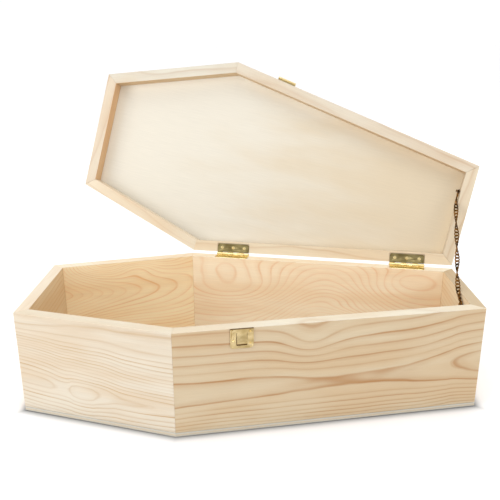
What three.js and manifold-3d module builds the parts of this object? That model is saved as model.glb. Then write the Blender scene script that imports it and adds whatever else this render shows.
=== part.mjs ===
import * as THREE from 'three';
import { mergeVertices } from 'three/addons/utils/BufferGeometryUtils.js';
import Module from 'manifold-3d';

const wasm = await Module();
wasm.setup();

// Outline of the coffin, seen from above; every length is in millimetres
const coffinLength = 450;
const headWidth = 138;
const shoulderWidth = 228;
const footWidth = 113;
const shoulderFromHead = 156;

// Wooden boards and panels
const boxHeight = 106;
const wallThickness = 12;
const basePanelThickness = 4;
const lidRailHeight = 16;
const lidRailThickness = 12;
const lidPanelThickness = 4;
const glueLine = 0.3;
const lidGap = 0.4;
const lidOpenAngle = THREE.MathUtils.degToRad(105.5);

// Butt hinges, let into the back wall and the back lid rail
const hingeLength = 38;
const hingeFromCorner = 30;
const leafWidth = 10;
const leafThickness = 1;
const leafCornerRadius = 1.6;
const knuckleRadius = 1.9;
const knuckleFromWall = 0.6;
const knucklesPerHinge = 6;
const knuckleGap = 0.2;
const hingePinRadius = 0.9;
const hingePinHeadRadius = 1.4;
const hingePinHeadThickness = 0.5;
const mortiseClearance = 0.5;

// Countersunk screws of the hinges
const screwsPerLeaf = 3;
const screwPitch = 13.4;
const screwFromFace = 5.2;
const screwHeadRadius = 1.9;
const screwHeadDepth = 0.9;
const screwShankRadius = 1;
const screwLength = 8.5;

// Latch on the front: a catch plate on the box, a hinged hasp on the lid
const latchFromShoulder = 63;
const latchWidth = 21.5;
const latchPlateThickness = 0.8;
const catchHeight = 19.5;
const catchCornerRadius = 3;
const catchRibWidth = 1.6;
const catchRibHeight = 0.5;
const catchRibFromEdge = 1.2;
const catchRibLength = 8;
const tongueWidth = 9.4;
const tongueLength = 10;
const tongueFromTop = 4.5;
const tongueStandoff = 2.2;
const tongueSlot = 1.9;
const haspPlateHeight = 14;
const haspKnuckleRadius = 1.3;
const haspKnuckleLength = 3.8;
const haspPinRadius = 0.6;
const flapRail = 1.2;
const flapLipHeight = 2.4;

// Brads that hold the latch plates
const bradHeadRadius = 1;
const bradHeadHeight = 0.6;
const bradShankRadius = 0.45;
const bradLength = 6;
const bradFromEdge = 2.9;
const catchBradDepths = { left: 12, lowerRight: 15, upperRight: 3.2 };
const haspBradHeight = 8.5;

// Stay chain and the two round-head screws that hold its ends
const chainFromFrontCorner = 21;
const chainBelowRim = 9;
const chainAboveLidRim = 9;
const chainFromWall = 1.7;
const chainOverRim = 1;
const chainSag = 2;
const chainTurn = THREE.MathUtils.degToRad(720);
const chainFlatShare = 0.06;
const linkWire = 0.9;
const linkWidth = 4.4;
const linkPitch = 4.4;
const linkTilt = THREE.MathUtils.degToRad(32);
const anchorShankRadius = 0.8;
const anchorHeadRadius = 1.7;
const anchorHeadHeight = 1.1;
const anchorLength = 7;

// Clearance between a metal fitting and whatever it sits on or passes through
const fitGap = 0.2;
const domeShoulder = 0.7;
const knuckleSides = 12;
const smallSides = 8;
const linkSides = 8;
const wireSides = 3;

const pine = new THREE.MeshStandardMaterial({ color: 0xe9d6b8, roughness: 0.62, metalness: 0 });
const plywood = new THREE.MeshStandardMaterial({ color: 0xf1e4cb, roughness: 0.6, metalness: 0 });
const brass = new THREE.MeshStandardMaterial({ color: 0xb99a55, roughness: 0.32, metalness: 1 });
const agedBrass = new THREE.MeshStandardMaterial({ color: 0x8c6a34, roughness: 0.4, metalness: 1 });

// Closed solids are joined and cut as manifolds
function toManifold(geometry) {
  const bare = geometry.clone();
  bare.deleteAttribute('normal');
  bare.deleteAttribute('uv');
  const merged = mergeVertices(bare, 1e-4);
  const vertProperties = new Float32Array(merged.attributes.position.array);
  const triVerts = new Uint32Array(merged.index.array);
  return new wasm.Manifold(new wasm.Mesh({ numProp: 3, vertProperties, triVerts }));
}

function toGeometry(manifold) {
  const mesh = manifold.getMesh();
  const geometry = new THREE.BufferGeometry();
  geometry.setAttribute('position', new THREE.BufferAttribute(new Float32Array(mesh.vertProperties), 3));
  geometry.setIndex(new THREE.BufferAttribute(new Uint32Array(mesh.triVerts), 1));
  geometry.computeVertexNormals();
  return geometry;
}

function joined(first, ...others) {
  return toGeometry(others.reduce((sum, other) => sum.add(toManifold(other)), toManifold(first)));
}

function cut(body, ...cutters) {
  return toGeometry(cutters.reduce((rest, cutter) => rest.subtract(toManifold(cutter)), toManifold(body)));
}

// Simple closed shapes given by their limits
function block(x0, x1, y0, y1, z0, z1) {
  return new THREE.BoxGeometry(x1 - x0, y1 - y0, z1 - z0)
    .translate((x0 + x1) / 2, (y0 + y1) / 2, (z0 + z1) / 2);
}

function rodAlongX(radius, x0, x1, y, z, facets) {
  return new THREE.CylinderGeometry(radius, radius, x1 - x0, facets)
    .rotateZ(Math.PI / 2)
    .translate((x0 + x1) / 2, y, z);
}

function rodAlongY(radius, y0, y1, x, z, facets) {
  return new THREE.CylinderGeometry(radius, radius, y1 - y0, facets).translate(x, (y0 + y1) / 2, z);
}

function rodAlongZ(radius, z0, z1, x, y, facets) {
  return new THREE.CylinderGeometry(radius, radius, z1 - z0, facets)
    .rotateX(Math.PI / 2)
    .translate(x, y, (z0 + z1) / 2);
}

// Flat rectangle whose two corners at low y are rounded, thickened along +z
function roundFootedPlate(width, height, radius, thickness) {
  const half = width / 2;
  const shape = new THREE.Shape();
  shape.moveTo(-half, 0);
  shape.lineTo(-half, -height + radius);
  shape.absarc(-half + radius, -height + radius, radius, Math.PI, Math.PI * 1.5, false);
  shape.lineTo(half - radius, -height);
  shape.absarc(half - radius, -height + radius, radius, Math.PI * 1.5, Math.PI * 2, false);
  shape.lineTo(half, 0);
  return new THREE.ExtrudeGeometry(shape, { depth: thickness, bevelEnabled: false, curveSegments: 4 });
}

// The six corners in clockwise order, so that the outside is on the left of every side
const headX = -coffinLength / 2;
const shoulderX = headX + shoulderFromHead;
const footX = coffinLength / 2;
const outline = [
  new THREE.Vector2(headX, headWidth / 2),
  new THREE.Vector2(shoulderX, shoulderWidth / 2),
  new THREE.Vector2(footX, footWidth / 2),
  new THREE.Vector2(footX, -footWidth / 2),
  new THREE.Vector2(shoulderX, -shoulderWidth / 2),
  new THREE.Vector2(headX, -headWidth / 2),
];
const sides = ['head_side_back', 'back', 'foot', 'front', 'head_side_front', 'head'];

function sideStart(index) {
  return outline[(index + sides.length) % sides.length];
}

function sideDirection(index) {
  return sideStart(index + 1).clone().sub(sideStart(index)).normalize();
}

function outwardNormal(index) {
  const direction = sideDirection(index);
  return new THREE.Vector2(-direction.y, direction.x);
}

function sideLength(index) {
  return sideStart(index + 1).distanceTo(sideStart(index));
}

// Corner of the outline moved inwards by a board's thickness on both of its sides
function innerCorner(index, thickness) {
  const before = outwardNormal(index - 1);
  const after = outwardNormal(index);
  const bisector = before.clone().add(after);
  return sideStart(index).clone().addScaledVector(bisector, -thickness / (1 + before.dot(after)));
}

// A board between two mitres; each mitre leaves half of the glue line free
function mitredBoard(index, thickness, bottom, top) {
  const direction = sideDirection(index);
  const corners = [[index, 1], [index + 1, -1]].map(([corner, way]) => {
    const outer = sideStart(corner).clone();
    const inner = innerCorner(corner, thickness);
    const mitre = inner.clone().sub(outer).normalize();
    const shift = way * glueLine / 2 / Math.abs(direction.cross(mitre));
    return [outer.addScaledVector(direction, shift), inner.addScaledVector(direction, shift)];
  });
  const [[outerStart, innerStart], [outerEnd, innerEnd]] = corners;
  const shape = new THREE.Shape([outerStart, outerEnd, innerEnd, innerStart]);
  return new THREE.ExtrudeGeometry(shape, { depth: top - bottom, bevelEnabled: false })
    .translate(0, 0, bottom);
}

function outlinePanel(bottom, thickness) {
  return new THREE.ExtrudeGeometry(new THREE.Shape(outline), { depth: thickness, bevelEnabled: false })
    .translate(0, 0, bottom);
}

// Frame of a side's outer face: x to the right as seen from outside, y up, z outwards
function faceFrame(index) {
  const right = sideDirection(index).negate();
  const outward = outwardNormal(index);
  const corner = sideStart(index + 1);
  return new THREE.Matrix4().makeBasis(
    new THREE.Vector3(right.x, right.y, 0),
    new THREE.Vector3(0, 0, 1),
    new THREE.Vector3(outward.x, outward.y, 0),
  ).setPosition(corner.x, corner.y, 0);
}

function placedOnFace(index, geometry, along, height) {
  return geometry.translate(along, height, 0).applyMatrix4(faceFrame(index));
}

const backSide = sides.indexOf('back');
const footSide = sides.indexOf('foot');
const frontSide = sides.indexOf('front');
const lidBottom = boxHeight + lidGap;
const lidPanelBottom = lidBottom + lidRailHeight + glueLine;
const wallBottom = basePanelThickness + glueLine;

// Hinge pieces are drawn about the middle of the hinge, with the box's rim at y = 0
const hingeAxisUp = lidGap / 2;
const hingeAxisOut = knuckleRadius + knuckleFromWall;
const hingeBoreRadius = hingePinRadius + fitGap / 2 / Math.cos(Math.PI / knuckleSides);
const leafPlateEdge = hingeAxisOut - knuckleRadius - 1.5 * fitGap;
const knuckleStep = hingeLength / knucklesPerHinge;
const screwSpots = Array.from(
  { length: screwsPerLeaf },
  (_, number) => (number - (screwsPerLeaf - 1) / 2) * screwPitch,
);

// Leaf outline in the plane of the rim, thickened downwards from the rim
function leafOutline(length, width, radius, outer, thickness) {
  const half = length / 2;
  const shape = new THREE.Shape();
  shape.moveTo(-half, outer);
  shape.lineTo(-half, -width + radius);
  shape.absarc(-half + radius, -width + radius, radius, Math.PI, Math.PI * 1.5, false);
  shape.lineTo(half - radius, -width);
  shape.absarc(half - radius, -width + radius, radius, Math.PI * 1.5, Math.PI * 2, false);
  shape.lineTo(half, outer);
  return new THREE.ExtrudeGeometry(shape, { depth: thickness, bevelEnabled: false, curveSegments: 4 })
    .rotateX(Math.PI / 2);
}

// One leaf with every second knuckle, starting from the given one
function hingeLeaf(firstKnuckle) {
  const parts = [leafOutline(hingeLength, leafWidth, leafCornerRadius, leafPlateEdge, leafThickness)];
  for (let number = firstKnuckle; number < knucklesPerHinge; number += 2) {
    const start = -hingeLength / 2 + number * knuckleStep + (number > 0 ? knuckleGap / 2 : 0);
    const last = number === knucklesPerHinge - 1;
    const end = -hingeLength / 2 + (number + 1) * knuckleStep - (last ? 0 : knuckleGap / 2);
    parts.push(rodAlongX(knuckleRadius, start, end, hingeAxisUp, hingeAxisOut, knuckleSides));
    parts.push(block(start, end, -leafThickness, 0, leafPlateEdge - leafThickness, hingeAxisOut));
  }
  const bore = rodAlongX(
    hingeBoreRadius, -hingeLength, hingeLength, hingeAxisUp, hingeAxisOut, knuckleSides,
  );
  const holes = screwSpots.map((x) => countersunkHole(x));
  return cut(joined(...parts), bore, ...holes);
}

// Countersunk hole through a leaf, a fit gap wider than the screw all round
function countersunkHole(x) {
  const profile = [
    new THREE.Vector2(0, -leafThickness * 2),
    new THREE.Vector2(screwShankRadius + fitGap, -leafThickness * 2),
    new THREE.Vector2(screwShankRadius + fitGap, -screwHeadDepth),
    new THREE.Vector2(screwHeadRadius + fitGap, 0),
    new THREE.Vector2(screwHeadRadius + fitGap, leafThickness),
    new THREE.Vector2(0, leafThickness),
  ];
  return new THREE.LatheGeometry(profile, smallSides).translate(x, 0, -screwFromFace);
}

function countersunkScrew() {
  const taper = screwShankRadius * 2;
  const profile = [
    new THREE.Vector2(0, -screwLength),
    new THREE.Vector2(screwShankRadius, -screwLength + taper),
    new THREE.Vector2(screwShankRadius, -screwHeadDepth),
    new THREE.Vector2(screwHeadRadius, 0),
    new THREE.Vector2(0, 0),
  ];
  return new THREE.LatheGeometry(profile, smallSides);
}

function hingePin() {
  const half = hingeLength / 2 + fitGap;
  const headEnd = half + hingePinHeadThickness;
  const shank = rodAlongX(hingePinRadius, -headEnd, headEnd, hingeAxisUp, hingeAxisOut, knuckleSides);
  const heads = [-1, 1].map((way) => rodAlongX(
    hingePinHeadRadius,
    Math.min(way * half, way * headEnd),
    Math.max(way * half, way * headEnd),
    hingeAxisUp,
    hingeAxisOut,
    knuckleSides,
  ));
  return joined(shank, ...heads);
}

// Pocket in the rim for one leaf, with a pilot hole under every screw
function mortiseCutters() {
  const depth = leafThickness + fitGap;
  const length = hingeLength + 2 * mortiseClearance;
  const width = leafWidth + mortiseClearance;
  const pocket = leafOutline(length, width, leafCornerRadius, hingeAxisOut, depth * 2).translate(0, depth, 0);
  const pilots = screwSpots.map((x) => rodAlongY(
    screwShankRadius + fitGap, -screwLength - fitGap, 0, x, -screwFromFace, smallSides,
  ));
  return [pocket, ...pilots];
}

// The lid's half of a hinge is the box's half turned over about the joint
function turnedOver(geometry) {
  return geometry.scale(1, -1, 1).translate(0, lidGap, 0);
}

// A mirrored solid has its faces turned round again
function facesReversed(geometry) {
  const flipped = geometry.index ? geometry : mergeVertices(geometry);
  const index = flipped.index.array;
  for (let corner = 0; corner < index.length; corner += 3) {
    [index[corner], index[corner + 1]] = [index[corner + 1], index[corner]];
  }
  flipped.computeVertexNormals();
  return flipped;
}

function forLid(geometry) {
  return facesReversed(turnedOver(geometry));
}

const hingeSpots = {
  right: hingeFromCorner + hingeLength / 2,
  left: sideLength(backSide) - hingeFromCorner - hingeLength / 2,
};

// Latch pieces are drawn about the middle of the latch, as seen from the front
const plateIn = fitGap;
const plateOut = plateIn + latchPlateThickness;
const haspAxisUp = haspKnuckleRadius + fitGap / 2;
const haspAxisOut = plateOut + fitGap + haspKnuckleRadius;
const haspBoreRadius = haspPinRadius + fitGap / 2 / Math.cos(Math.PI / smallSides);
const flapKnuckleHalf = latchWidth / 2 - haspKnuckleLength - knuckleGap;
const bradX = latchWidth / 2 - bradFromEdge;
const windowHalf = tongueWidth / 2 + 2 * fitGap;
const flapHalf = windowHalf + flapRail;
const tongueReach = haspAxisUp + lidGap + tongueFromTop + tongueLength;
const windowEnd = tongueReach + 2 * fitGap;
const windowStart = windowEnd - tongueLength - 4 * fitGap;
const flapLength = windowEnd + flapRail;
const catchBrads = [
  [-bradX, -catchBradDepths.left],
  [bradX, -catchBradDepths.lowerRight],
  [bradX, -catchBradDepths.upperRight],
];
const haspBrads = [[-bradX, haspBradHeight], [bradX, haspBradHeight]];

function catchTongue() {
  const top = -tongueFromTop;
  const end = top - tongueLength;
  const shape = new THREE.Shape();
  shape.moveTo(plateIn, top);
  shape.lineTo(plateOut + tongueStandoff - latchPlateThickness, end);
  shape.lineTo(plateOut + tongueStandoff, end);
  shape.lineTo(plateOut, top);
  return new THREE.ExtrudeGeometry(shape, { depth: tongueWidth, bevelEnabled: false })
    .rotateY(-Math.PI / 2)
    .translate(tongueWidth / 2, 0, 0);
}

function catchPlate() {
  const plate = roundFootedPlate(latchWidth, catchHeight, catchCornerRadius, latchPlateThickness)
    .translate(0, 0, plateIn);
  const half = tongueWidth / 2;
  const slotHalf = half + fitGap;
  const slotTop = -tongueFromTop;
  const slotEnd = slotTop - tongueLength - tongueSlot;
  const slot = block(-slotHalf, slotHalf, slotEnd, slotTop, 0, plateOut + fitGap);
  const root = block(-half, half, slotTop - fitGap, slotTop + fitGap, plateIn, plateOut);
  const ribStart = -latchWidth / 2 + catchRibFromEdge;
  const rib = block(
    ribStart,
    ribStart + catchRibWidth,
    -catchRibFromEdge - catchRibLength,
    -catchRibFromEdge,
    plateOut - fitGap,
    plateOut + catchRibHeight,
  );
  const holes = catchBrads.map(([x, y]) => bradHole(x, y));
  return cut(joined(cut(plate, slot), root, catchTongue(), rib), ...holes);
}

function haspPlate() {
  const half = latchWidth / 2;
  const top = haspAxisUp + haspPlateHeight;
  const plate = block(-half, half, fitGap, top, plateIn, plateOut);
  const knuckles = [-1, 1].flatMap((way) => {
    const inner = way * (half - haspKnuckleLength);
    const outer = way * half;
    const [x0, x1] = [Math.min(inner, outer), Math.max(inner, outer)];
    return [
      rodAlongX(haspKnuckleRadius, x0, x1, haspAxisUp, haspAxisOut, smallSides),
      block(x0, x1, haspAxisUp, haspAxisUp + haspKnuckleRadius, plateIn, haspAxisOut),
    ];
  });
  const bore = rodAlongX(haspBoreRadius, -latchWidth, latchWidth, haspAxisUp, haspAxisOut, smallSides);
  const holes = haspBrads.map(([x, y]) => bradHole(x, y));
  return cut(joined(plate, ...knuckles), bore, ...holes);
}

// The flap as it lies folded back over the hasp plate
function haspFlap() {
  const outerFace = haspAxisOut + haspKnuckleRadius;
  const innerFace = outerFace - latchPlateThickness;
  const end = haspAxisUp + flapLength;
  const plate = block(-flapHalf, flapHalf, haspAxisUp, end, innerFace, outerFace);
  const window = block(
    -windowHalf, windowHalf, haspAxisUp + windowStart, haspAxisUp + windowEnd, 0, outerFace * 2,
  );
  const knuckle = rodAlongX(
    haspKnuckleRadius, -flapKnuckleHalf, flapKnuckleHalf, haspAxisUp, haspAxisOut, smallSides,
  );
  const lip = block(-flapHalf, flapHalf, end - latchPlateThickness, end, outerFace - flapLipHeight, outerFace);
  const bore = rodAlongX(haspBoreRadius, -latchWidth, latchWidth, haspAxisUp, haspAxisOut, smallSides);
  return cut(joined(cut(plate, window), knuckle, lip), bore);
}

function haspPin() {
  const half = latchWidth / 2;
  return rodAlongX(haspPinRadius, -half, half, haspAxisUp, haspAxisOut, smallSides);
}

function brad() {
  const seat = plateOut + fitGap;
  const profile = [
    new THREE.Vector2(0, seat - bradLength),
    new THREE.Vector2(bradShankRadius, seat - bradLength + bradShankRadius),
    new THREE.Vector2(bradShankRadius, seat),
    new THREE.Vector2(bradHeadRadius, seat),
    new THREE.Vector2(bradHeadRadius * domeShoulder, seat + bradHeadHeight * domeShoulder),
    new THREE.Vector2(0, seat + bradHeadHeight),
  ];
  return new THREE.LatheGeometry(profile, smallSides).rotateX(Math.PI / 2);
}

function bradHole(x, y) {
  return rodAlongZ(bradShankRadius + fitGap, -bradLength - fitGap, plateOut * 2, x, y, smallSides);
}

// Round-head screw whose axis is z, pointing away from the wood; the chain sits under the head
function anchorScrew() {
  const seat = 2 * chainFromWall;
  const profile = [
    new THREE.Vector2(0, seat - anchorLength),
    new THREE.Vector2(anchorShankRadius, seat - anchorLength + anchorShankRadius),
    new THREE.Vector2(anchorShankRadius, seat),
    new THREE.Vector2(anchorHeadRadius, seat),
    new THREE.Vector2(anchorHeadRadius * domeShoulder, seat + anchorHeadHeight * domeShoulder),
    new THREE.Vector2(0, seat + anchorHeadHeight),
  ];
  return new THREE.LatheGeometry(profile, smallSides).rotateX(Math.PI / 2);
}

function anchorHole() {
  return rodAlongZ(anchorShankRadius + fitGap, 2 * chainFromWall - anchorLength - fitGap, 1, 0, 0, smallSides);
}

// Frame of an anchor on the inner face at the foot: z points into the coffin
function anchorFrame(height, thickness) {
  const inner = innerCorner(footSide + 1, thickness);
  return new THREE.Matrix4().makeBasis(
    new THREE.Vector3(0, 1, 0),
    new THREE.Vector3(0, 0, -1),
    new THREE.Vector3(-1, 0, 0),
  ).setPosition(inner.x, inner.y + chainFromFrontCorner, height);
}

const boxAnchor = anchorFrame(boxHeight - chainBelowRim, wallThickness);
const lidAnchor = anchorFrame(lidBottom + chainAboveLidRim, lidRailThickness);

// The lid turns about the line of the hinge pins
const hingeAxisPoint = new THREE.Vector3(0, boxHeight + hingeAxisUp, hingeAxisOut)
  .applyMatrix4(faceFrame(backSide));
const hingeAxisDirection = new THREE.Vector3(1, 0, 0).transformDirection(faceFrame(backSide));
const lidTurn = new THREE.Quaternion().setFromAxisAngle(hingeAxisDirection, lidOpenAngle);
const lidShift = hingeAxisPoint.clone().sub(hingeAxisPoint.clone().applyQuaternion(lidTurn));
const lidPlacement = new THREE.Matrix4().compose(lidShift, lidTurn, new THREE.Vector3(1, 1, 1));

// One link along x: a ring drawn out lengthwise
function chainLink(pitch) {
  const ring = (linkWidth - linkWire) / 2;
  const stretch = (pitch + linkWire - fitGap) / 2 - ring;
  const geometry = new THREE.TorusGeometry(ring, linkWire / 2, wireSides, linkSides);
  const places = geometry.attributes.position;
  const spot = new THREE.Vector3();
  for (let number = 0; number < places.count; number += 1) {
    spot.fromBufferAttribute(places, number);
    const alongRing = Math.cos(Math.atan2(spot.y, spot.x));
    places.setX(number, spot.x + stretch * alongRing);
  }
  return geometry;
}

// A point on the way from one anchor to the other that has just cleared the rim beside the first
function overRim(from, to, rise) {
  const way = to.clone().sub(from);
  const share = rise / Math.abs(way.z);
  return from.clone().add(new THREE.Vector3(0, way.y * share, way.z * share));
}

// The chain leaves each anchor flat along the wood, clears both rims and sags a little between them
function chainRoute() {
  const seat = new THREE.Vector3(0, 0, chainFromWall);
  const boxEnd = seat.clone().applyMatrix4(boxAnchor);
  const lidEndShut = seat.clone().applyMatrix4(lidAnchor);
  const lidEnd = lidEndShut.clone().applyMatrix4(lidPlacement);
  const boxEndFromLid = boxEnd.clone().applyMatrix4(lidPlacement.clone().invert());
  const overBox = overRim(boxEnd, lidEnd, chainBelowRim + chainOverRim);
  const overLid = overRim(lidEndShut, boxEndFromLid, chainAboveLidRim + chainOverRim)
    .applyMatrix4(lidPlacement);
  const middle = overBox.clone().lerp(overLid, 0.5);
  middle.z -= chainSag;
  return new THREE.CatmullRomCurve3([boxEnd, overBox, middle, overLid, lidEnd]);
}

// Links in a row from one anchor to the other, tilted to and fro about the chain's own turn
function stayChain() {
  const route = chainRoute();
  const length = route.getLength();
  const reach = anchorShankRadius + fitGap;
  const count = Math.round((length + 2 * reach) / linkPitch);
  const pitch = (length + 2 * reach) / count;
  const links = Array.from({ length: count }, (_, number) => {
    const share = ((number + 0.5) * pitch - reach) / length;
    const along = route.getTangentAt(share);
    const twisted = THREE.MathUtils.clamp((share - chainFlatShare) / (1 - 2 * chainFlatShare), 0, 1);
    const tilt = number % 2 === 0 ? linkTilt : -linkTilt;
    const across = new THREE.Vector3(1, 0, 0).cross(along).normalize()
      .applyAxisAngle(along, twisted * chainTurn + tilt);
    const turn = new THREE.Matrix4().makeBasis(along, across, along.clone().cross(across))
      .setPosition(route.getPointAt(share));
    return chainLink(pitch).applyMatrix4(turn);
  });
  return joined(...links);
}

function mesh(name, geometry, material) {
  const made = new THREE.Mesh(geometry, material);
  made.name = name;
  return made;
}

const group = new THREE.Group();
const lid = new THREE.Group();
lid.position.copy(lidShift);
lid.quaternion.copy(lidTurn);
group.add(lid);

// Base panel and lid panel follow the whole outline, the boards stand between them
group.add(mesh('base_panel', outlinePanel(0, basePanelThickness), plywood));
lid.add(mesh('lid_panel', outlinePanel(lidPanelBottom, lidPanelThickness), plywood));

const wallCuts = {
  back: Object.values(hingeSpots).flatMap((spot) => mortiseCutters()
    .map((cutter) => placedOnFace(backSide, cutter, spot, boxHeight))),
  front: catchBrads.map(([x, y]) => placedOnFace(frontSide, bradHole(x, y), latchFromShoulder, boxHeight)),
  foot: [anchorHole().applyMatrix4(boxAnchor)],
};
const railCuts = {
  back: Object.values(hingeSpots).flatMap((spot) => mortiseCutters()
    .map((cutter) => placedOnFace(backSide, forLid(cutter), spot, boxHeight))),
  front: haspBrads.map(([x, y]) => placedOnFace(frontSide, bradHole(x, y), latchFromShoulder, lidBottom)),
  foot: [anchorHole().applyMatrix4(lidAnchor)],
};

sides.forEach((side, index) => {
  const wall = mitredBoard(index, wallThickness, wallBottom, boxHeight);
  const rail = mitredBoard(index, lidRailThickness, lidBottom, lidBottom + lidRailHeight);
  group.add(mesh(`wall_${side}`, wallCuts[side] ? cut(wall, ...wallCuts[side]) : wall, pine));
  lid.add(mesh(`lid_rail_${side}`, railCuts[side] ? cut(rail, ...railCuts[side]) : rail, pine));
});

for (const [hand, spot] of Object.entries(hingeSpots)) {
  const place = (geometry) => placedOnFace(backSide, geometry, spot, boxHeight);
  group.add(mesh(`hinge_${hand}_box_leaf`, place(hingeLeaf(0)), brass));
  lid.add(mesh(`hinge_${hand}_lid_leaf`, place(forLid(hingeLeaf(1))), brass));
  group.add(mesh(`hinge_${hand}_pin`, place(hingePin()), brass));
  screwSpots.forEach((x, number) => {
    const screw = () => countersunkScrew().translate(x, 0, -screwFromFace);
    group.add(mesh(`hinge_${hand}_box_screw_${number + 1}`, place(screw()), brass));
    lid.add(mesh(`hinge_${hand}_lid_screw_${number + 1}`, place(forLid(screw())), brass));
  });
}

const onBoxFront = (geometry) => placedOnFace(frontSide, geometry, latchFromShoulder, boxHeight);
const onLidFront = (geometry) => placedOnFace(frontSide, geometry, latchFromShoulder, lidBottom);
group.add(mesh('catch_plate', onBoxFront(catchPlate()), brass));
catchBrads.forEach(([x, y], number) => {
  group.add(mesh(`catch_brad_${number + 1}`, onBoxFront(brad().translate(x, y, 0)), brass));
});
lid.add(mesh('hasp_plate', onLidFront(haspPlate()), brass));
lid.add(mesh('hasp_pin', onLidFront(haspPin()), brass));
lid.add(mesh('hasp_flap', onLidFront(haspFlap()), brass));
haspBrads.forEach(([x, y], number) => {
  lid.add(mesh(`hasp_brad_${number + 1}`, onLidFront(brad().translate(x, y, 0)), brass));
});

group.add(mesh('chain_screw_box', anchorScrew().applyMatrix4(boxAnchor), agedBrass));
lid.add(mesh('chain_screw_lid', anchorScrew().applyMatrix4(lidAnchor), agedBrass));
group.add(mesh('stay_chain', stayChain(), agedBrass));

export default group;
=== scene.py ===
"""Small coffin box of bare pine with its lid open, dressed and set in a plain studio."""

import logging
import math
from contextlib import contextmanager
from dataclasses import dataclass, field
from enum import Enum
from typing import Any, Callable, Iterable, Iterator, Sequence

import bpy
from mathutils import Matrix, Vector


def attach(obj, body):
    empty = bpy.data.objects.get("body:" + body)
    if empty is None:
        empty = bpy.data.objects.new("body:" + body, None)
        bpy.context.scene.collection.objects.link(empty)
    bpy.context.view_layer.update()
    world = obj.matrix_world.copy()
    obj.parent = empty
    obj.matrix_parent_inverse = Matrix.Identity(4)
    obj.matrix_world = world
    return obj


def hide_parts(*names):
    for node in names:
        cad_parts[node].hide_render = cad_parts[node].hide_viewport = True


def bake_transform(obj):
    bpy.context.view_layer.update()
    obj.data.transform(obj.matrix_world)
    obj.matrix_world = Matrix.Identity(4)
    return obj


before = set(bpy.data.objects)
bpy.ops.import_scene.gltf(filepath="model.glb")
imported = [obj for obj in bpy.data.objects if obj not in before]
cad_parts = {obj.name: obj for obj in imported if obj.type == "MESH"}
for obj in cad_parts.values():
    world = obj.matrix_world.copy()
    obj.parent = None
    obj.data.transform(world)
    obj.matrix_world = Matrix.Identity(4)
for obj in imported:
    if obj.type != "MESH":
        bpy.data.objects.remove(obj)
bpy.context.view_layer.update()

log = logging.getLogger("coffin")

# Shapes are drawn in millimetres and made metres when they are set in place
METRES = 0.001
UP = Vector((0, 0, 1))
# A direction counts as along an axis from this share of it, and an edge as on a plane this near
ALIGNED = 0.9
NEAR = 0.1

Point = Sequence[float]
Colour = tuple[float, float, float]
Stops = tuple[tuple[float, float], ...]


class Body(Enum):
    """The moving parts of the model that a piece can ride on."""

    BOX = "box"
    LID = "lid"
    HASP = "hasp"


class Slot(Enum):
    """The record's material slots."""

    PINE = "pine"
    PLYWOOD = "plywood"
    BRASS = "brass"
    AGED_BRASS = "aged_brass"


class Side(Enum):
    """Sides of the coffin in clockwise order, seen from above."""

    HEAD_BACK = "head_side_back"
    BACK = "back"
    FOOT = "foot"
    FRONT = "front"
    HEAD_FRONT = "head_side_front"
    HEAD = "head"


class Carve(Enum):
    """How one solid changes another."""

    ADD = "UNION"
    REMOVE = "DIFFERENCE"


# Modelling


def only(piece: bpy.types.Object) -> None:
    """Selects one piece alone and makes it the active one.

    Args:
        piece: The object to select.
    """
    bpy.ops.object.select_all(action="DESELECT")
    piece.select_set(True)
    bpy.context.view_layer.objects.active = piece


def applied(piece: bpy.types.Object) -> bpy.types.Object:
    """Moves a piece's place, turn and size into its mesh.

    Args:
        piece: The object to settle.

    Returns:
        The same object, at the origin, unturned and unscaled.
    """
    only(piece)
    bpy.ops.object.transform_apply(location=True, rotation=True, scale=True)
    return piece


def block(name: str, low: Point, high: Point) -> bpy.types.Object:
    """Adds a rectangular block.

    Args:
        name: Name of the new object.
        low: Its lowest corner.
        high: Its highest corner.

    Returns:
        The new object.
    """
    size = [b - a for a, b in zip(low, high)]
    middle = [(a + b) / 2 for a, b in zip(low, high)]
    bpy.ops.object.select_all(action="DESELECT")
    bpy.ops.mesh.primitive_cube_add(size=1, location=middle, scale=size)
    bpy.context.object.name = name
    return applied(bpy.context.object)


def rod(
    name: str,
    start: Point,
    end: Point,
    radius: float,
    end_radius: float | None = None,
    facets: int = 28,
) -> bpy.types.Object:
    """Adds a round rod or a cone between two points.

    Args:
        name: Name of the new object.
        start: Middle of its first end.
        end: Middle of its other end.
        radius: Radius at the first end.
        end_radius: Radius at the other end, the same if left out.
        facets: Number of sides.

    Returns:
        The new object.
    """
    way = Vector(end) - Vector(start)
    bpy.ops.object.select_all(action="DESELECT")
    bpy.ops.mesh.primitive_cone_add(
        vertices=facets,
        radius1=radius,
        radius2=radius if end_radius is None else end_radius,
        depth=way.length,
        location=(Vector(start) + Vector(end)) / 2,
        rotation=way.to_track_quat("Z", "Y").to_euler(),
    )
    bpy.context.object.name = name
    return applied(bpy.context.object)


def dome(name: str, radius: float, height: float, facets: int, rings: int) -> bpy.types.Object:
    """Adds the upper half of a flattened ball, closed by a flat face at zero.

    Args:
        name: Name of the new object.
        radius: Radius of its foot.
        height: Its height.
        facets: Number of faces round it.
        rings: Number of rings of faces on the whole ball.

    Returns:
        The new object.
    """
    bpy.ops.object.select_all(action="DESELECT")
    bpy.ops.mesh.primitive_uv_sphere_add(
        segments=facets, ring_count=rings, radius=radius, scale=(1, 1, height / radius)
    )
    bpy.context.object.name = name
    ball = applied(bpy.context.object)
    with editing(ball, "face", lambda face: True):
        bpy.ops.mesh.bisect(
            plane_co=(0, 0, 0), plane_no=(0, 0, 1), use_fill=True, clear_inner=True
        )
    return ball


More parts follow.
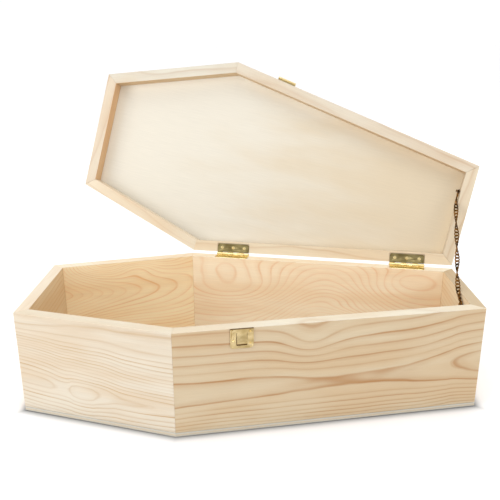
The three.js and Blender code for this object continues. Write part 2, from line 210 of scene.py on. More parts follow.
def shank_drawn(length: float, tip: float, point: float) -> None:
    """Draws the face selected under a head down into a shank with a tapered end.

    Args:
        length: Length of the shank with its tip.
        tip: Length of the tapered tip.
        point: Width of the tip's end, as a share of the shank's.
    """
    bpy.ops.mesh.extrude_region_move(TRANSFORM_OT_translate={"value": (0, 0, tip - length)})
    bpy.ops.mesh.extrude_region_move(TRANSFORM_OT_translate={"value": (0, 0, -tip)})
    bpy.ops.transform.resize(value=(point, point, 1))


def carved(
    piece: bpy.types.Object, how: Carve, *tools: bpy.types.Object
) -> bpy.types.Object:
    """Joins other solids to a piece or cuts them from it, and removes them.

    Args:
        piece: The solid that changes.
        how: Whether the tools are added or removed.
        *tools: The other solids.

    Returns:
        The changed piece.
    """
    for tool in tools:
        only(piece)
        step = piece.modifiers.new(how.value, "BOOLEAN")
        step.operation = how.value
        step.solver = "EXACT"
        step.object = tool
        bpy.ops.object.modifier_apply(modifier=step.name)
        bpy.data.objects.remove(tool)
    return piece


@contextmanager
def editing(
    piece: bpy.types.Object, part: str, wanted: Callable[[Any], bool]
) -> Iterator[None]:
    """Edit mode on a piece with some of its faces, edges or corners selected.

    Args:
        piece: The object to edit.
        part: "face", "edge" or "corner".
        wanted: Says whether a face, a corner, or an edge as its middle and direction is selected.

    Yields:
        Nothing; the piece leaves edit mode afterwards.
    """
    only(piece)
    mesh = piece.data
    kinds = {"corner": mesh.vertices, "edge": mesh.edges, "face": mesh.polygons}
    bpy.context.tool_settings.mesh_select_mode = tuple(kind == part for kind in kinds)
    for group in kinds.values():
        group.foreach_set("select", [False] * len(group))
    for item in kinds[part]:
        if part == "edge":
            a, b = (mesh.vertices[corner].co for corner in item.vertices)
            item.select = wanted(((a + b) / 2, (b - a).normalized()))
        else:
            item.select = wanted(item)
    bpy.ops.object.mode_set(mode="EDIT")
    yield
    bpy.ops.object.mode_set(mode="OBJECT")


def edges_rounded(
    piece: bpy.types.Object,
    radius: float,
    steps: int,
    wanted: Callable[[Any], bool],
) -> bpy.types.Object:
    """Rounds chosen edges of a piece.

    Args:
        piece: The object to round.
        radius: Radius of the rounding.
        steps: Number of faces across it.
        wanted: Says whether an edge, given as its middle and direction, is rounded.

    Returns:
        The same object.
    """
    with editing(piece, "edge", wanted):
        bpy.ops.mesh.bevel(offset=radius, segments=steps, affect="EDGES")
    return piece


def eased(
    piece: bpy.types.Object, width: float, steps: int = 1, angle: float = 40
) -> bpy.types.Object:
    """Takes the sharpness off every edge that turns more than an angle.

    Args:
        piece: The object to ease.
        width: Width taken off.
        steps: Number of faces across the new edge.
        angle: Smallest turn that counts as an edge, in degrees.

    Returns:
        The same object.
    """
    only(piece)
    step = piece.modifiers.new("eased", "BEVEL")
    step.width = width
    step.segments = steps
    step.limit_method = "ANGLE"
    step.angle_limit = math.radians(angle)
    bpy.ops.object.modifier_apply(modifier=step.name)
    return piece


def smoothed(piece: bpy.types.Object, angle: float = 30) -> bpy.types.Object:
    """Shades a piece smoothly across every edge flatter than an angle in degrees.

    Args:
        piece: The object to shade.
        angle: The largest turn that is smoothed, in degrees.

    Returns:
        The same object.
    """
    only(piece)
    bpy.ops.object.shade_smooth_by_angle(angle=math.radians(angle))
    return piece


def copied(piece: bpy.types.Object, name: str) -> bpy.types.Object:
    """Copies a piece with a mesh of its own.

    Args:
        piece: The object to copy.
        name: Name of the copy.

    Returns:
        The copy.
    """
    twin = piece.copy()
    twin.data = piece.data.copy()
    twin.name = name
    twin.data.name = name
    bpy.context.scene.collection.objects.link(twin)
    return twin


def joined(name: str, pieces: Sequence[bpy.types.Object]) -> bpy.types.Object:
    """Makes several objects one.

    Args:
        name: Name of the result.
        pieces: The objects, which are used up.

    Returns:
        The one object.
    """
    only(pieces[0])
    for piece in pieces:
        piece.select_set(True)
    bpy.ops.object.join()
    pieces[0].name = name
    pieces[0].data.name = name
    return pieces[0]


def placed(piece: bpy.types.Object, place: Matrix) -> bpy.types.Object:
    """Sets a piece drawn in millimetres in its place on the coffin, in metres.

    Args:
        piece: The object to place.
        place: Its frame, in millimetres.

    Returns:
        The same object, with its place in its mesh.
    """
    piece.matrix_world = Matrix.Scale(METRES, 4) @ place @ piece.matrix_world
    return applied(piece)


def handed_over(
    piece: bpy.types.Object,
    body: Body,
    slot: Slot,
    *nodes: str,
) -> bpy.types.Object:
    """Lets a finished piece ride on its body in place of solids of the model.

    Args:
        piece: The finished object.
        body: What it moves with.
        slot: The material slot its finish comes from; it is not used.
        *nodes: The solids that it stands for.

    Returns:
        The same object.
    """
    piece.data.name = piece.name
    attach(piece, body.value)
    if nodes:
        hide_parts(*nodes)
    log.info("%s rides on %s, %d faces", piece.name, body.value, len(piece.data.polygons))
    return piece


def set_copy(
    pattern: bpy.types.Object,
    name: str,
    finish: bpy.types.Material,
    place: Matrix,
    body: Body,
    slot: Slot,
    node: str,
) -> bpy.types.Object:
    """Sets a finished copy of a pattern in its place.

    Args:
        pattern: The piece to copy, in millimetres.
        name: Name of the copy.
        finish: Its material.
        place: Its frame, in millimetres.
        body: What it moves with.
        slot: The material slot its finish comes from.
        node: The solid that it stands for.

    Returns:
        The copy.
    """
    piece = copied(pattern, name)
    piece.data.materials.append(finish)
    return handed_over(placed(piece, place), body, slot, node)


# The coffin's outline


@dataclass(frozen=True)
class CoffinShape:
    """Outline and heights that every board and fitting is placed by, in millimetres."""

    length: float = 450
    head_width: float = 138
    shoulder_width: float = 228
    foot_width: float = 113
    shoulder_from_head: float = 156
    rim_height: float = 106
    base_thickness: float = 4
    board_thickness: float = 12
    rail_height: float = 16
    lid_gap: float = 0.4
    glue_line: float = 0.3
    lid_angle: float = 105.5
    hinge_axis_out: float = 2.5
    hinge_from_corner: float = 49

    @property
    def wall_bottom(self) -> float:
        """Height of the walls' lower edge."""
        return self.base_thickness + self.glue_line

    @property
    def wall_height(self) -> float:
        """Height of the walls alone."""
        return self.rim_height - self.wall_bottom

    @property
    def lid_bottom(self) -> float:
        """Height of the shut lid's underside."""
        return self.rim_height + self.lid_gap

    def corners(self) -> list[Vector]:
        """The six corners, clockwise from the back of the head.

        Returns:
            The corners, at the ground.
        """
        head = -self.length / 2
        shoulder = head + self.shoulder_from_head
        back = [
            (head, self.head_width / 2),
            (shoulder, self.shoulder_width / 2),
            (self.length / 2, self.foot_width / 2),
        ]
        front = [(x, -y) for x, y in reversed(back)]
        return [Vector((x, y, 0)) for x, y in back + front]

    def ends(self, side: Side) -> tuple[Vector, Vector]:
        """First and second corner of a side, clockwise.

        Args:
            side: Which side.

        Returns:
            The two corners, at the ground.
        """
        corners = self.corners()
        index = list(Side).index(side)
        return corners[index], corners[(index + 1) % len(corners)]

    def face(self, side: Side) -> Matrix:
        """Frame of a side's outer face at the ground.

        Args:
            side: Which side.

        Returns:
            Its frame: x to the right as seen from outside, y up, z outwards.
        """
        start, end = self.ends(side)
        right = (start - end).normalized()
        outward = right.cross(UP)
        turn = Matrix((right, UP, outward)).transposed().to_4x4()
        return Matrix.Translation(end) @ turn

    def on_face(self, side: Side, along: float, height: float) -> Matrix:
        """Frame on a side's outer face, moved along it and up."""
        return self.face(side) @ Matrix.Translation((along, height, 0))

    def span(self, side: Side) -> float:
        """Length of a side."""
        start, end = self.ends(side)
        return (end - start).length

    def lid_turn(self) -> Matrix:
        """How the open lid lies, from where it is shut.

        Returns:
            The turn about the hinges' axis.
        """
        hinge = self.on_face(
            Side.BACK, 0, self.rim_height + self.lid_gap / 2
        ) @ Matrix.Translation((0, 0, self.hinge_axis_out))
        turn = Matrix.Rotation(math.radians(self.lid_angle), 4, "X")
        return hinge @ turn @ hinge.inverted()


SHAPE = CoffinShape()


# Materials


def tone(red: int, green: int, blue: int) -> Colour:
    """A colour from its display values of 0 to 255.

    Args:
        red: Red value.
        green: Green value.
        blue: Blue value.

    Returns:
        The linear colour that the shader wants.
    """
    linear = []
    for value in (red, green, blue):
        share = value / 255
        low = share <= 0.04045
        linear.append(share / 12.92 if low else ((share + 0.055) / 1.055) ** 2.4)
    return tuple(linear)


class Nodes:
    """A material's node tree, with a short way to add each kind of node."""

    def __init__(self, name: str) -> None:
        """Starts a material with an empty tree and a Principled shader.

        Args:
            name: Name of the material.
        """
        self.material = bpy.data.materials.new(name)
        self.material.use_nodes = True
        self.tree = self.material.node_tree
        self.tree.nodes.clear()
        self.shader = self.tree.nodes.new("ShaderNodeBsdfPrincipled")
        output = self.tree.nodes.new("ShaderNodeOutputMaterial")
        self.tree.links.new(self.shader.outputs[0], output.inputs["Surface"])

    def feed(self, socket: bpy.types.NodeSocket, value: Any) -> None:
        """Links a socket to another node's output, or sets its value.

        Args:
            socket: The socket to feed.
            value: An output, a number, a vector or a colour.
        """
        if isinstance(value, bpy.types.NodeSocket):
            self.tree.links.new(value, socket)
        elif isinstance(value, tuple) and socket.type == "RGBA" and len(value) == 3:
            socket.default_value = (*value, 1)
        else:
            socket.default_value = value

    def surface(self, **values: Any) -> None:
        """Feeds the shader's sockets, named with underscores for spaces."""
        for name, value in values.items():
            self.feed(self.shader.inputs[name.replace("_", " ")], value)

    def place(self, frame_in_mm: Matrix) -> bpy.types.NodeSocket:
        """Object coordinates, in millimetres, in a frame of the piece's own.

        Args:
            frame_in_mm: The frame that the pattern is drawn in.

        Returns:
            The coordinates.
        """
        source = self.tree.nodes.new("ShaderNodeTexCoord")
        mapping = self.tree.nodes.new("ShaderNodeMapping")
        mapping.vector_type = "TEXTURE"
        mapping.inputs["Location"].default_value = frame_in_mm.to_translation() * METRES
        mapping.inputs["Rotation"].default_value = frame_in_mm.to_euler("XYZ")
        mapping.inputs["Scale"].default_value = (METRES,) * 3
        self.tree.links.new(source.outputs["Object"], mapping.inputs["Vector"])
        return mapping.outputs[0]

    def math(self, kind: str, *values: Any) -> bpy.types.NodeSocket:
        """A Math node of one kind.

        Args:
            kind: Its operation.
            *values: What its sockets take, in order.

        Returns:
            Its result.
        """
        node = self.tree.nodes.new("ShaderNodeMath")
        node.operation = kind
        for socket, value in zip(node.inputs, values):
            self.feed(socket, value)
        return node.outputs[0]

    def vector(self, kind: str, *values: Any) -> bpy.types.NodeSocket:
        """A Vector Math node of one kind.

        Args:
            kind: Its operation.
            *values: What its sockets take, in order.

        Returns:
            Its result, a number for a dot product.
        """
        node = self.tree.nodes.new("ShaderNodeVectorMath")
        node.operation = kind
        for socket, value in zip(node.inputs, values):
            self.feed(socket, value)
        return node.outputs["Value" if kind == "DOT_PRODUCT" else "Vector"]

    def noise(
        self, where: bpy.types.NodeSocket, sizes: Point, detail: float = 2, rough: float = 0.5
    ) -> bpy.types.NodeSocket:
        """Noise whose lumps have a size along each axis.

        Args:
            where: Coordinates in millimetres.
            sizes: Size of a lump along x, y and z.
            detail: How many finer levels it has.
            rough: How strong the finer levels are.

        Returns:
            A value about 0.5.
        """
        stretched = self.vector("MULTIPLY", where, tuple(1 / size for size in sizes))
        node = self.tree.nodes.new("ShaderNodeTexNoise")
        node.inputs["Scale"].default_value = 1
        node.inputs["Detail"].default_value = detail
        node.inputs["Roughness"].default_value = rough
        self.tree.links.new(stretched, node.inputs["Vector"])
        return node.outputs[0]

    def chance(self, number: bpy.types.NodeSocket) -> bpy.types.NodeSocket:
        """A value from 0 to 1 that jumps with a number.

        Args:
            number: The number.

        Returns:
            The value.
        """
        node = self.tree.nodes.new("ShaderNodeTexWhiteNoise")
        node.noise_dimensions = "1D"
        self.tree.links.new(number, node.inputs["W"])
        return node.outputs["Value"]

    def curve(
        self, value: bpy.types.NodeSocket, stops: Sequence[tuple[float, Any]], ease: bool = True
    ) -> bpy.types.NodeSocket:
        """A value turned into another one, or into a colour, through stops.

        Args:
            value: A value from 0 to 1.
            stops: Places and what each gives, a number or a colour.
            ease: Whether the way between stops is eased.

        Returns:
            The colour, or the number as grey.
        """
        node = self.tree.nodes.new("ShaderNodeValToRGB")
        ramp = node.color_ramp
        ramp.interpolation = "EASE" if ease else "LINEAR"
        while len(ramp.elements) < len(stops):
            ramp.elements.new(1)
        # All places come first, as a stop that moves past another one changes their order
        for element, (spot, _) in zip(ramp.elements, stops):
            element.position = spot
        for element, (spot, given) in zip(ramp.elements, stops):
            element.color = (*given, 1) if isinstance(given, tuple) else (given,) * 3 + (1,)
        self.tree.links.new(value, node.inputs[0])
        return node.outputs[0]

    def share(self, value: bpy.types.NodeSocket, low: float, high: float) -> bpy.types.NodeSocket:
        """How far a value has come from one number to another, from 0 to 1."""
        span = high - low
        return self.math("MULTIPLY_ADD", value, 1 / span, -low / span)

    def spline(self, value: bpy.types.NodeSocket, knots: Sequence[Point]) -> bpy.types.NodeSocket:
        """A value turned into another one along a smooth curve through knots.

        Args:
            value: The value.
            knots: What the curve gives at rising values.

        Returns:
            The new value.
        """
        starts, gives = zip(*knots)
        low, high = starts[0], starts[-1]
        floor, rise = min(gives), max(gives) - min(gives)
        node = self.tree.nodes.new("ShaderNodeFloatCurve")
        points = node.mapping.curves[0].points
        while len(points) < len(knots):
            points.new(0.5, 0.5)
        for point, (start, given) in zip(points, knots):
            point.location = ((start - low) / (high - low), (given - floor) / rise)
        node.mapping.update()
        self.tree.links.new(self.share(value, low, high), node.inputs["Value"])
        return self.math("MULTIPLY_ADD", node.outputs[0], rise, floor)

    def mix(self, share: Any, first: Any, second: Any, kind: str = "MIX") -> bpy.types.NodeSocket:
        """Mixes two colours by a share.

        Args:
            share: Share of the second colour.
            first: The first colour.
            second: The second colour.
            kind: How the second acts on the first.

        Returns:
            The mixed colour.
        """
        node = self.tree.nodes.new("ShaderNodeMix")
        node.data_type = "RGBA"
        node.blend_type = kind
        # Sockets 6 and 7 take the two colours, and output 2 gives the colour
        self.feed(node.inputs[0], share)
        self.feed(node.inputs[6], first)
        self.feed(node.inputs[7], second)
        return node.outputs[2]

    def relief(
        self, height: bpy.types.NodeSocket, strength: float, depth: float
    ) -> bpy.types.NodeSocket:
        """A bumped normal from a height of 0 to 1, depth in metres.

        Args:
            height: The height.
            strength: How strongly it shows, from 0 to 1.
            depth: Depth of the bumps in metres.

        Returns:
            The normal.
        """
        node = self.tree.nodes.new("ShaderNodeBump")
        node.inputs["Strength"].default_value = strength
        node.inputs["Distance"].default_value = depth
        self.tree.links.new(height, node.inputs["Height"])
        return node.outputs[0]


@dataclass(frozen=True)
class Swell:
    """A place where the growth rings bulge, which closes them into loops or bends them.

    Attributes:
        along: Its middle along the board, in millimetres from the board's own.
        across: Its middle up the board.
        length: Its reach along the board.
        width: Its reach up the board.
        rings: Number of rings that it adds in its middle.
        lean: Its turn in degrees.
    """

    along: float
    across: float
    length: float
    width: float
    rings: float
    lean: float = 0


@dataclass(frozen=True)
class Heart:
    """Rings about a heart that runs along the board and dips under its face.

    Each pair is a place along the board, or a distance from the heart, and what holds there.
    """

    line: Stops
    depth: Stops
    above: Stops
    below: Stops


@dataclass(frozen=True)
class Figure:
    """How the growth rings of one board run over its face.

    Attributes:
        spacing: Distance between rings up the board, in millimetres.
        offset: Rings added everywhere, which shifts the lines.
        rise: How much the rings climb along the board.
        depth: How much they climb through its thickness.
        wander: How far a slow drift moves them, in rings.
        strength: How plainly they show.
        seed: Shifts the board's own noise.
        heart: Where they close about a heart, instead of running straight.
        swells: Where they bulge.
        cast: Colour that multiplies the wood: painted light and shade for how light falls on this
            board.
        rim_painted_light: The same painted light and shade on the top edge.
        waver: How far a quick wobble moves them, in rings.
        late: Colour of the late wood.
        bold_ring: Number of a ring that shows as strongly as can be.
        inner_face: Distance of a board's inner face along its frame's z.
        inner_painted_light: Colour that multiplies the wood there, a warmer tone that is painted
            bounce light.
    """

    spacing: float = 4.5
    offset: float = 0.0
    rise: float = 0.02
    depth: float = 0.5
    wander: float = 1.2
    strength: float = 1.0
    seed: float = 0.0
    heart: Heart | None = None
    swells: tuple[Swell, ...] = ()
    # Painted light and shade on the board's face and on its top edge
    cast: Colour = (1.0, 1.0, 1.0)
    rim_painted_light: Colour = (1.0, 1.0, 1.0)
    waver: float = 0.34
    late: Colour = tone(199, 150, 98)
    bold_ring: float | None = None
    inner_face: float = 0.0
    # Painted bounce light on a lid rail's inner face
    inner_painted_light: Colour | None = None


@dataclass(frozen=True)
class PineFinish:
    """Bare planed pine: pale early wood, tan late-wood lines and fine fibre."""

    name: str
    figure: Figure
    early: Colour = tone(240, 223, 192)
    early_warm: Colour = tone(234, 209, 172)
    roughness: float = 0.62
    drift_size: Point = (170, 34, 60)
    waver_size: Point = (34, 9, 16)
    patch_size: Point = (60, 14, 20)
    tint_size: Point = (120, 22, 30)
    fibre_size: Point = (26, 0.55, 0.55)
    fleck_size: Point = (9, 0.35, 0.35)
    ring: Stops = ((0.0, 0.4), (0.07, 0.05), (0.45, 0.0), (0.76, 0.28), (0.93, 1.0), (1.0, 0.4))
    heart_tilt: float = 0.3
    wall_height: float = SHAPE.wall_height
    rim_start: float = 0.995
    rim_end: float = 0.9985
    rim_late: float = 0.4
    skin: float = 0.15
    relief_depth: float = 0.00012

    def material(self, place: Matrix) -> bpy.types.Material:
        """Makes the finish for one board.

        Args:
            place: The board's frame: x along it, y up its face, z out of it.

        Returns:
            The material.
        """
        nodes = Nodes(self.name)
        figure = self.figure
        where = nodes.place(place)
        seeded = nodes.vector("ADD", where, (figure.seed, figure.seed, figure.seed))
        slope = (figure.rise / figure.spacing, 1 / figure.spacing, figure.depth / figure.spacing)
        rings = nodes.vector("DOT_PRODUCT", where, slope)
        if figure.heart:
            rings = self._about_heart(nodes, where, figure.heart)
        rings = nodes.math("ADD", rings, figure.offset)
        drift = nodes.noise(seeded, self.drift_size, 1.5)
        rings = nodes.math("MULTIPLY_ADD", drift, figure.wander * 2, rings)
        waver = nodes.noise(seeded, self.waver_size, 1)
        rings = nodes.math("MULTIPLY_ADD", waver, figure.waver, rings)
        for swell in figure.swells:
            rings = nodes.math("ADD", rings, self._swell(nodes, where, swell))
        late = self._late_wood(nodes, seeded, rings)
        tint = nodes.noise(seeded, self.tint_size, 2)
        pale = nodes.curve(tint, [(0.3, self.early), (0.7, self.early_warm)])
        height = nodes.vector("DOT_PRODUCT", where, (0.0, 1 / self.wall_height, 0.0))
        height = nodes.math("ADD", height, 0.5)
        below_rim = nodes.curve(height, [(self.rim_start, 1.0), (self.rim_end, self.rim_late)])
        late = nodes.math("MULTIPLY", late, below_rim)
        wood = nodes.mix(late, pale, figure.late)
        fibre = nodes.noise(seeded, self.fibre_size, 3, 0.6)
        shade = nodes.curve(fibre, [(0.25, 0.93), (0.75, 1.05)], ease=False)
        wood = nodes.mix(1.0, wood, shade, "MULTIPLY")
        fleck = nodes.noise(seeded, self.fleck_size, 1)
        flecks = nodes.curve(fleck, [(0.68, 0.0), (0.78, 0.16)])
        wood = nodes.mix(flecks, wood, figure.late)
        # Painted light and shade: the face and the top edge are each multiplied by a tone for how
        # light falls on them
        painted_lights = [(self.rim_start, figure.cast), (self.rim_end, figure.rim_painted_light)]
        cast = nodes.curve(height, painted_lights, ease=False)
        wood = nodes.mix(1.0, wood, cast, "MULTIPLY")
        # Painted bounce light: the lid rails' inner faces are made warmer
        if figure.inner_painted_light:
            depth = nodes.vector("DOT_PRODUCT", where, (0.0, 0.0, 1.0))
            inner = nodes.math("COMPARE", depth, figure.inner_face, self.skin)
            wood = nodes.mix(inner, wood, nodes.mix(1.0, wood, figure.inner_painted_light, "MULTIPLY"))
        gloss = nodes.curve(fibre, [(0.2, self.roughness - 0.06), (0.8, self.roughness + 0.08)])
        bumps = nodes.math("MULTIPLY_ADD", late, 0.6, fibre)
        nodes.surface(
            Base_Color=wood,
            Roughness=gloss,
            Specular_IOR_Level=0.35,
            Normal=nodes.relief(bumps, 0.35, self.relief_depth),
        )
        return nodes.material

    def _about_heart(
        self, nodes: Nodes, where: bpy.types.NodeSocket, heart: Heart
    ) -> bpy.types.NodeSocket:
        """Rings counted outwards from a heart, on each side in their own rhythm.

        Args:
            nodes: The board's tree.
            where: Coordinates in millimetres.
            heart: The heart.

        Returns:
            Number of rings out from the heart.
        """
        along = nodes.vector("DOT_PRODUCT", where, (1.0, 0.0, 0.0))
        up = nodes.vector("DOT_PRODUCT", where, (0.0, 1.0, self.heart_tilt))
        aside = nodes.math("SUBTRACT", up, nodes.spline(along, heart.line))
        depth = nodes.spline(along, heart.depth)
        square = nodes.math("MULTIPLY", depth, depth)
        square = nodes.math("MULTIPLY_ADD", aside, aside, square)
        reach = nodes.math("SQRT", square)
        above, below = nodes.spline(reach, heart.above), nodes.spline(reach, heart.below)
        is_above = nodes.math("GREATER_THAN", aside, 0.0)
        gap = nodes.math("SUBTRACT", above, below)
        return nodes.math("MULTIPLY_ADD", gap, is_above, below)

    def _swell(
        self, nodes: Nodes, where: bpy.types.NodeSocket, swell: Swell
    ) -> bpy.types.NodeSocket:
        """Rings added by one swell, as a bell about its middle.

        Args:
            nodes: The board's tree.
            where: Coordinates in millimetres.
            swell: The swell.

        Returns:
            Number of rings to add.
        """
        turn = math.radians(swell.lean)
        along = (math.cos(turn) / swell.length, math.sin(turn) / swell.length, 0.0)
        across = (-math.sin(turn) / swell.width, math.cos(turn) / swell.width, 0.0)
        here = nodes.vector("SUBTRACT", where, (swell.along, swell.across, 0.0))
        first = nodes.vector("DOT_PRODUCT", here, along)
        second = nodes.vector("DOT_PRODUCT", here, across)
        square = nodes.math("MULTIPLY", first, first)
        square = nodes.math("MULTIPLY_ADD", second, second, square)
        bell = nodes.math("EXPONENT", nodes.math("MULTIPLY", square, -1.0))
        return nodes.math("MULTIPLY", bell, swell.rings)

    def _late_wood(
        self, nodes: Nodes, where: bpy.types.NodeSocket, rings: bpy.types.NodeSocket
    ) -> bpy.types.NodeSocket:
        """How much late wood shows: each ring darkens slowly and ends sharply.

        Args:
            nodes: The board's tree.
            where: Coordinates in millimetres.
            rings: Number of rings up to a place.

        Returns:
            A share from 0 to 1.
        """
        share = nodes.math("FRACT", rings)
        number = nodes.math("FLOOR", rings)
        line = nodes.curve(share, self.ring)
        luck = nodes.chance(nodes.math("ADD", number, self.figure.seed))
        strong = nodes.curve(luck, [(0.0, 0.35), (1.0, 0.95)], ease=False)
        if self.figure.bold_ring is not None:
            bold = nodes.math("COMPARE", number, self.figure.bold_ring, 0.5)
            strong = nodes.math("MAXIMUM", strong, bold)
        patch = nodes.noise(where, self.patch_size, 1)
        faded = nodes.curve(patch, [(0.3, 0.55), (0.65, 1.0)])
        late = nodes.math("MULTIPLY", line, strong)
        late = nodes.math("MULTIPLY", late, faded)
        return nodes.math("MULTIPLY", late, self.figure.strength)


# How each board was cut, the tone of its late wood, and the painted light and shade on its faces
# and top edge
FIGURES = {
    "front": Figure(
        heart=Heart(
            line=((-150, -11.5), (-58, -11.3), (-12, -12.6), (19, -13.1), (51, -12), (83, -11),
                  (100, -9.2), (116, -6.8), (132, -4.8), (150, -4.7)),
            depth=((-150, 18.1), (-117, 19.4), (-58, 20), (-28, 21.2), (3, 21.8), (35, 21.8),
                   (67, 21), (83, 19.8), (98, 18.1), (114, 15.7), (130, 12.4), (150, 7.7)),
            above=((0, -1.6), (14, 0), (22.4, 1), (28, 2), (35, 3), (43, 4), (52, 5), (62, 6),
                   (72, 7), (90, 8.8)),
            below=((0, -1.6), (14, 0), (22.4, 1), (27, 2), (31, 3), (35, 4), (38.2, 5),
                   (41.5, 6), (45, 7), (48.5, 8), (60, 11)),
        ),
        swells=(Swell(-22, 32, 26, 22, 1.3),),
        wander=0.3, waver=0.16, offset=-0.42, seed=11, bold_ring=0.0,
        cast=(0.68, 0.655, 0.625), rim_painted_light=(0.84, 0.93, 1.08),
    ),
    "head_side_front": Figure(
        heart=Heart(
            line=((-80, -19), (-50, -22), (-23, -24.6), (-9, -25), (11, -24), (36, -25.5),
                  (80, -25)),
            depth=((-80, 13), (-54, 12.3), (-36, 13.1), (-24, 10.9), (-9, 9.7), (0, 10.7),
                   (11.5, 12), (28, 13.6), (44, 13.8), (80, 14.6)),
            above=((0, -2.6), (12, 0), (17, 2), (29, 6), (41, 10), (47.5, 12), (51.5, 13),
                   (59, 14), (84, 15.5)),
            below=((0, -2.6), (12, 0), (18, 2), (25.5, 4), (32, 6), (60, 13)),
        ),
        swells=(Swell(-85, 5, 75, 22, -2), Swell(85, 0, 75, 22, 2), Swell(-75, 46, 40, 14, 1)),
        wander=0.3, waver=0.16, offset=-0.42, seed=47, late=tone(204, 160, 104), bold_ring=1.0,
        cast=(0.74, 0.79, 0.91), rim_painted_light=(0.82, 0.9, 1.04),
    ),
    "back": Figure(
        spacing=-12.28, rise=0.092, offset=5.24,
        swells=(
            Swell(15, 6, 65, 40, 15.53),
            Swell(15, 14, 110, 24, -7.67),
            Swell(-120, 22, 65, 40, -2.60),
            Swell(30, -2, 38, 9, -2.32),
            Swell(105, 38, 22, 9, -1.51),
            Swell(-105, 38, 22, 15, -1.05),
            Swell(0, -26, 65, 9, 2.90),
            Swell(75, 30, 110, 15, -1.15),
            Swell(-135, 6, 65, 15, -1.17),
        ),
        wander=0.3, waver=0.16, seed=83, strength=0.62, late=tone(219, 162, 104),
        cast=(1.13, 1.12, 1.15), rim_painted_light=(0.9, 0.96, 1.05),
    ),
    "head_side_back": Figure(
        spacing=-6.9, rise=-0.485, offset=8.44,
        swells=(
            Swell(-10, 54, 75, 22, 16.82),
            Swell(-40, -34, 75, 22, 4.78),
            Swell(10, 46, 28, 14, -6.60),
            Swell(80, -10, 75, 36, -3.65),
            Swell(-80, 14, 75, 9, -1.73),
            Swell(50, 54, 75, 9, 2.53),
        ),
        wander=0.3, waver=0.16, seed=120, strength=0.75, late=tone(216, 154, 88),
        cast=(1.18, 1.13, 1.03), rim_painted_light=(0.88, 0.92, 1.0),
    ),
    "head": Figure(
        spacing=5.5, rise=-0.05, seed=160, strength=0.6, late=tone(214, 160, 100),
        cast=(0.86, 0.77, 0.66), rim_painted_light=(0.85, 0.88, 0.98),
    ),
    "foot": Figure(
        spacing=5, rise=0.04, seed=200, strength=0.6, late=tone(214, 160, 100),
        cast=(0.92, 0.89, 0.86), rim_painted_light=(0.62, 0.59, 0.55),
    ),
    "lid_back": Figure(spacing=7, rise=0.01, strength=0.5, seed=310, cast=(0.84, 0.86, 0.9)),
    "lid_head_side_back": Figure(spacing=6, strength=0.5, seed=350, cast=(0.82, 0.85, 0.92)),
    "lid_front": Figure(
        spacing=6.5, strength=0.5, seed=390, cast=(0.73, 0.765, 0.86),
        inner_face=-SHAPE.board_thickness, inner_painted_light=(0.97, 0.85, 0.69),
    ),
    "lid_head_side_front": Figure(
        spacing=6, strength=0.5, seed=430, cast=(0.73, 0.81, 0.96),
        inner_face=-SHAPE.board_thickness, inner_painted_light=(1.0, 0.8, 0.58),
    ),
    "lid_head": Figure(
        spacing=5, rise=0.03, strength=0.5, seed=470, cast=(0.75, 0.76, 0.83),
        inner_painted_light=(1.06, 0.83, 0.6),
    ),
    "lid_foot": Figure(spacing=5.5, rise=0.02, strength=0.5, seed=510, cast=(0.75, 0.78, 0.84)),
}


def beyond_outline(
    nodes: Nodes, where: bpy.types.NodeSocket, sides: Iterable[Side]
) -> bpy.types.NodeSocket:
    """How far a place lies outside the coffin's plan.

    Args:
        nodes: The material's tree.
        where: Coordinates in millimetres, with the plan's x and y.
        sides: The sides that count.

    Returns:
        Millimetres beyond the nearest of the sides, negative inside.
    """
    beyond = None
    for side in sides:
        start, end = SHAPE.ends(side)
        outward = (start - end).normalized().cross(UP)
        away = nodes.vector("DOT_PRODUCT", where, tuple(outward))
        away = nodes.math("SUBTRACT", away, outward.dot(start))
        beyond = away if beyond is None else nodes.math("MAXIMUM", beyond, away)
    return beyond


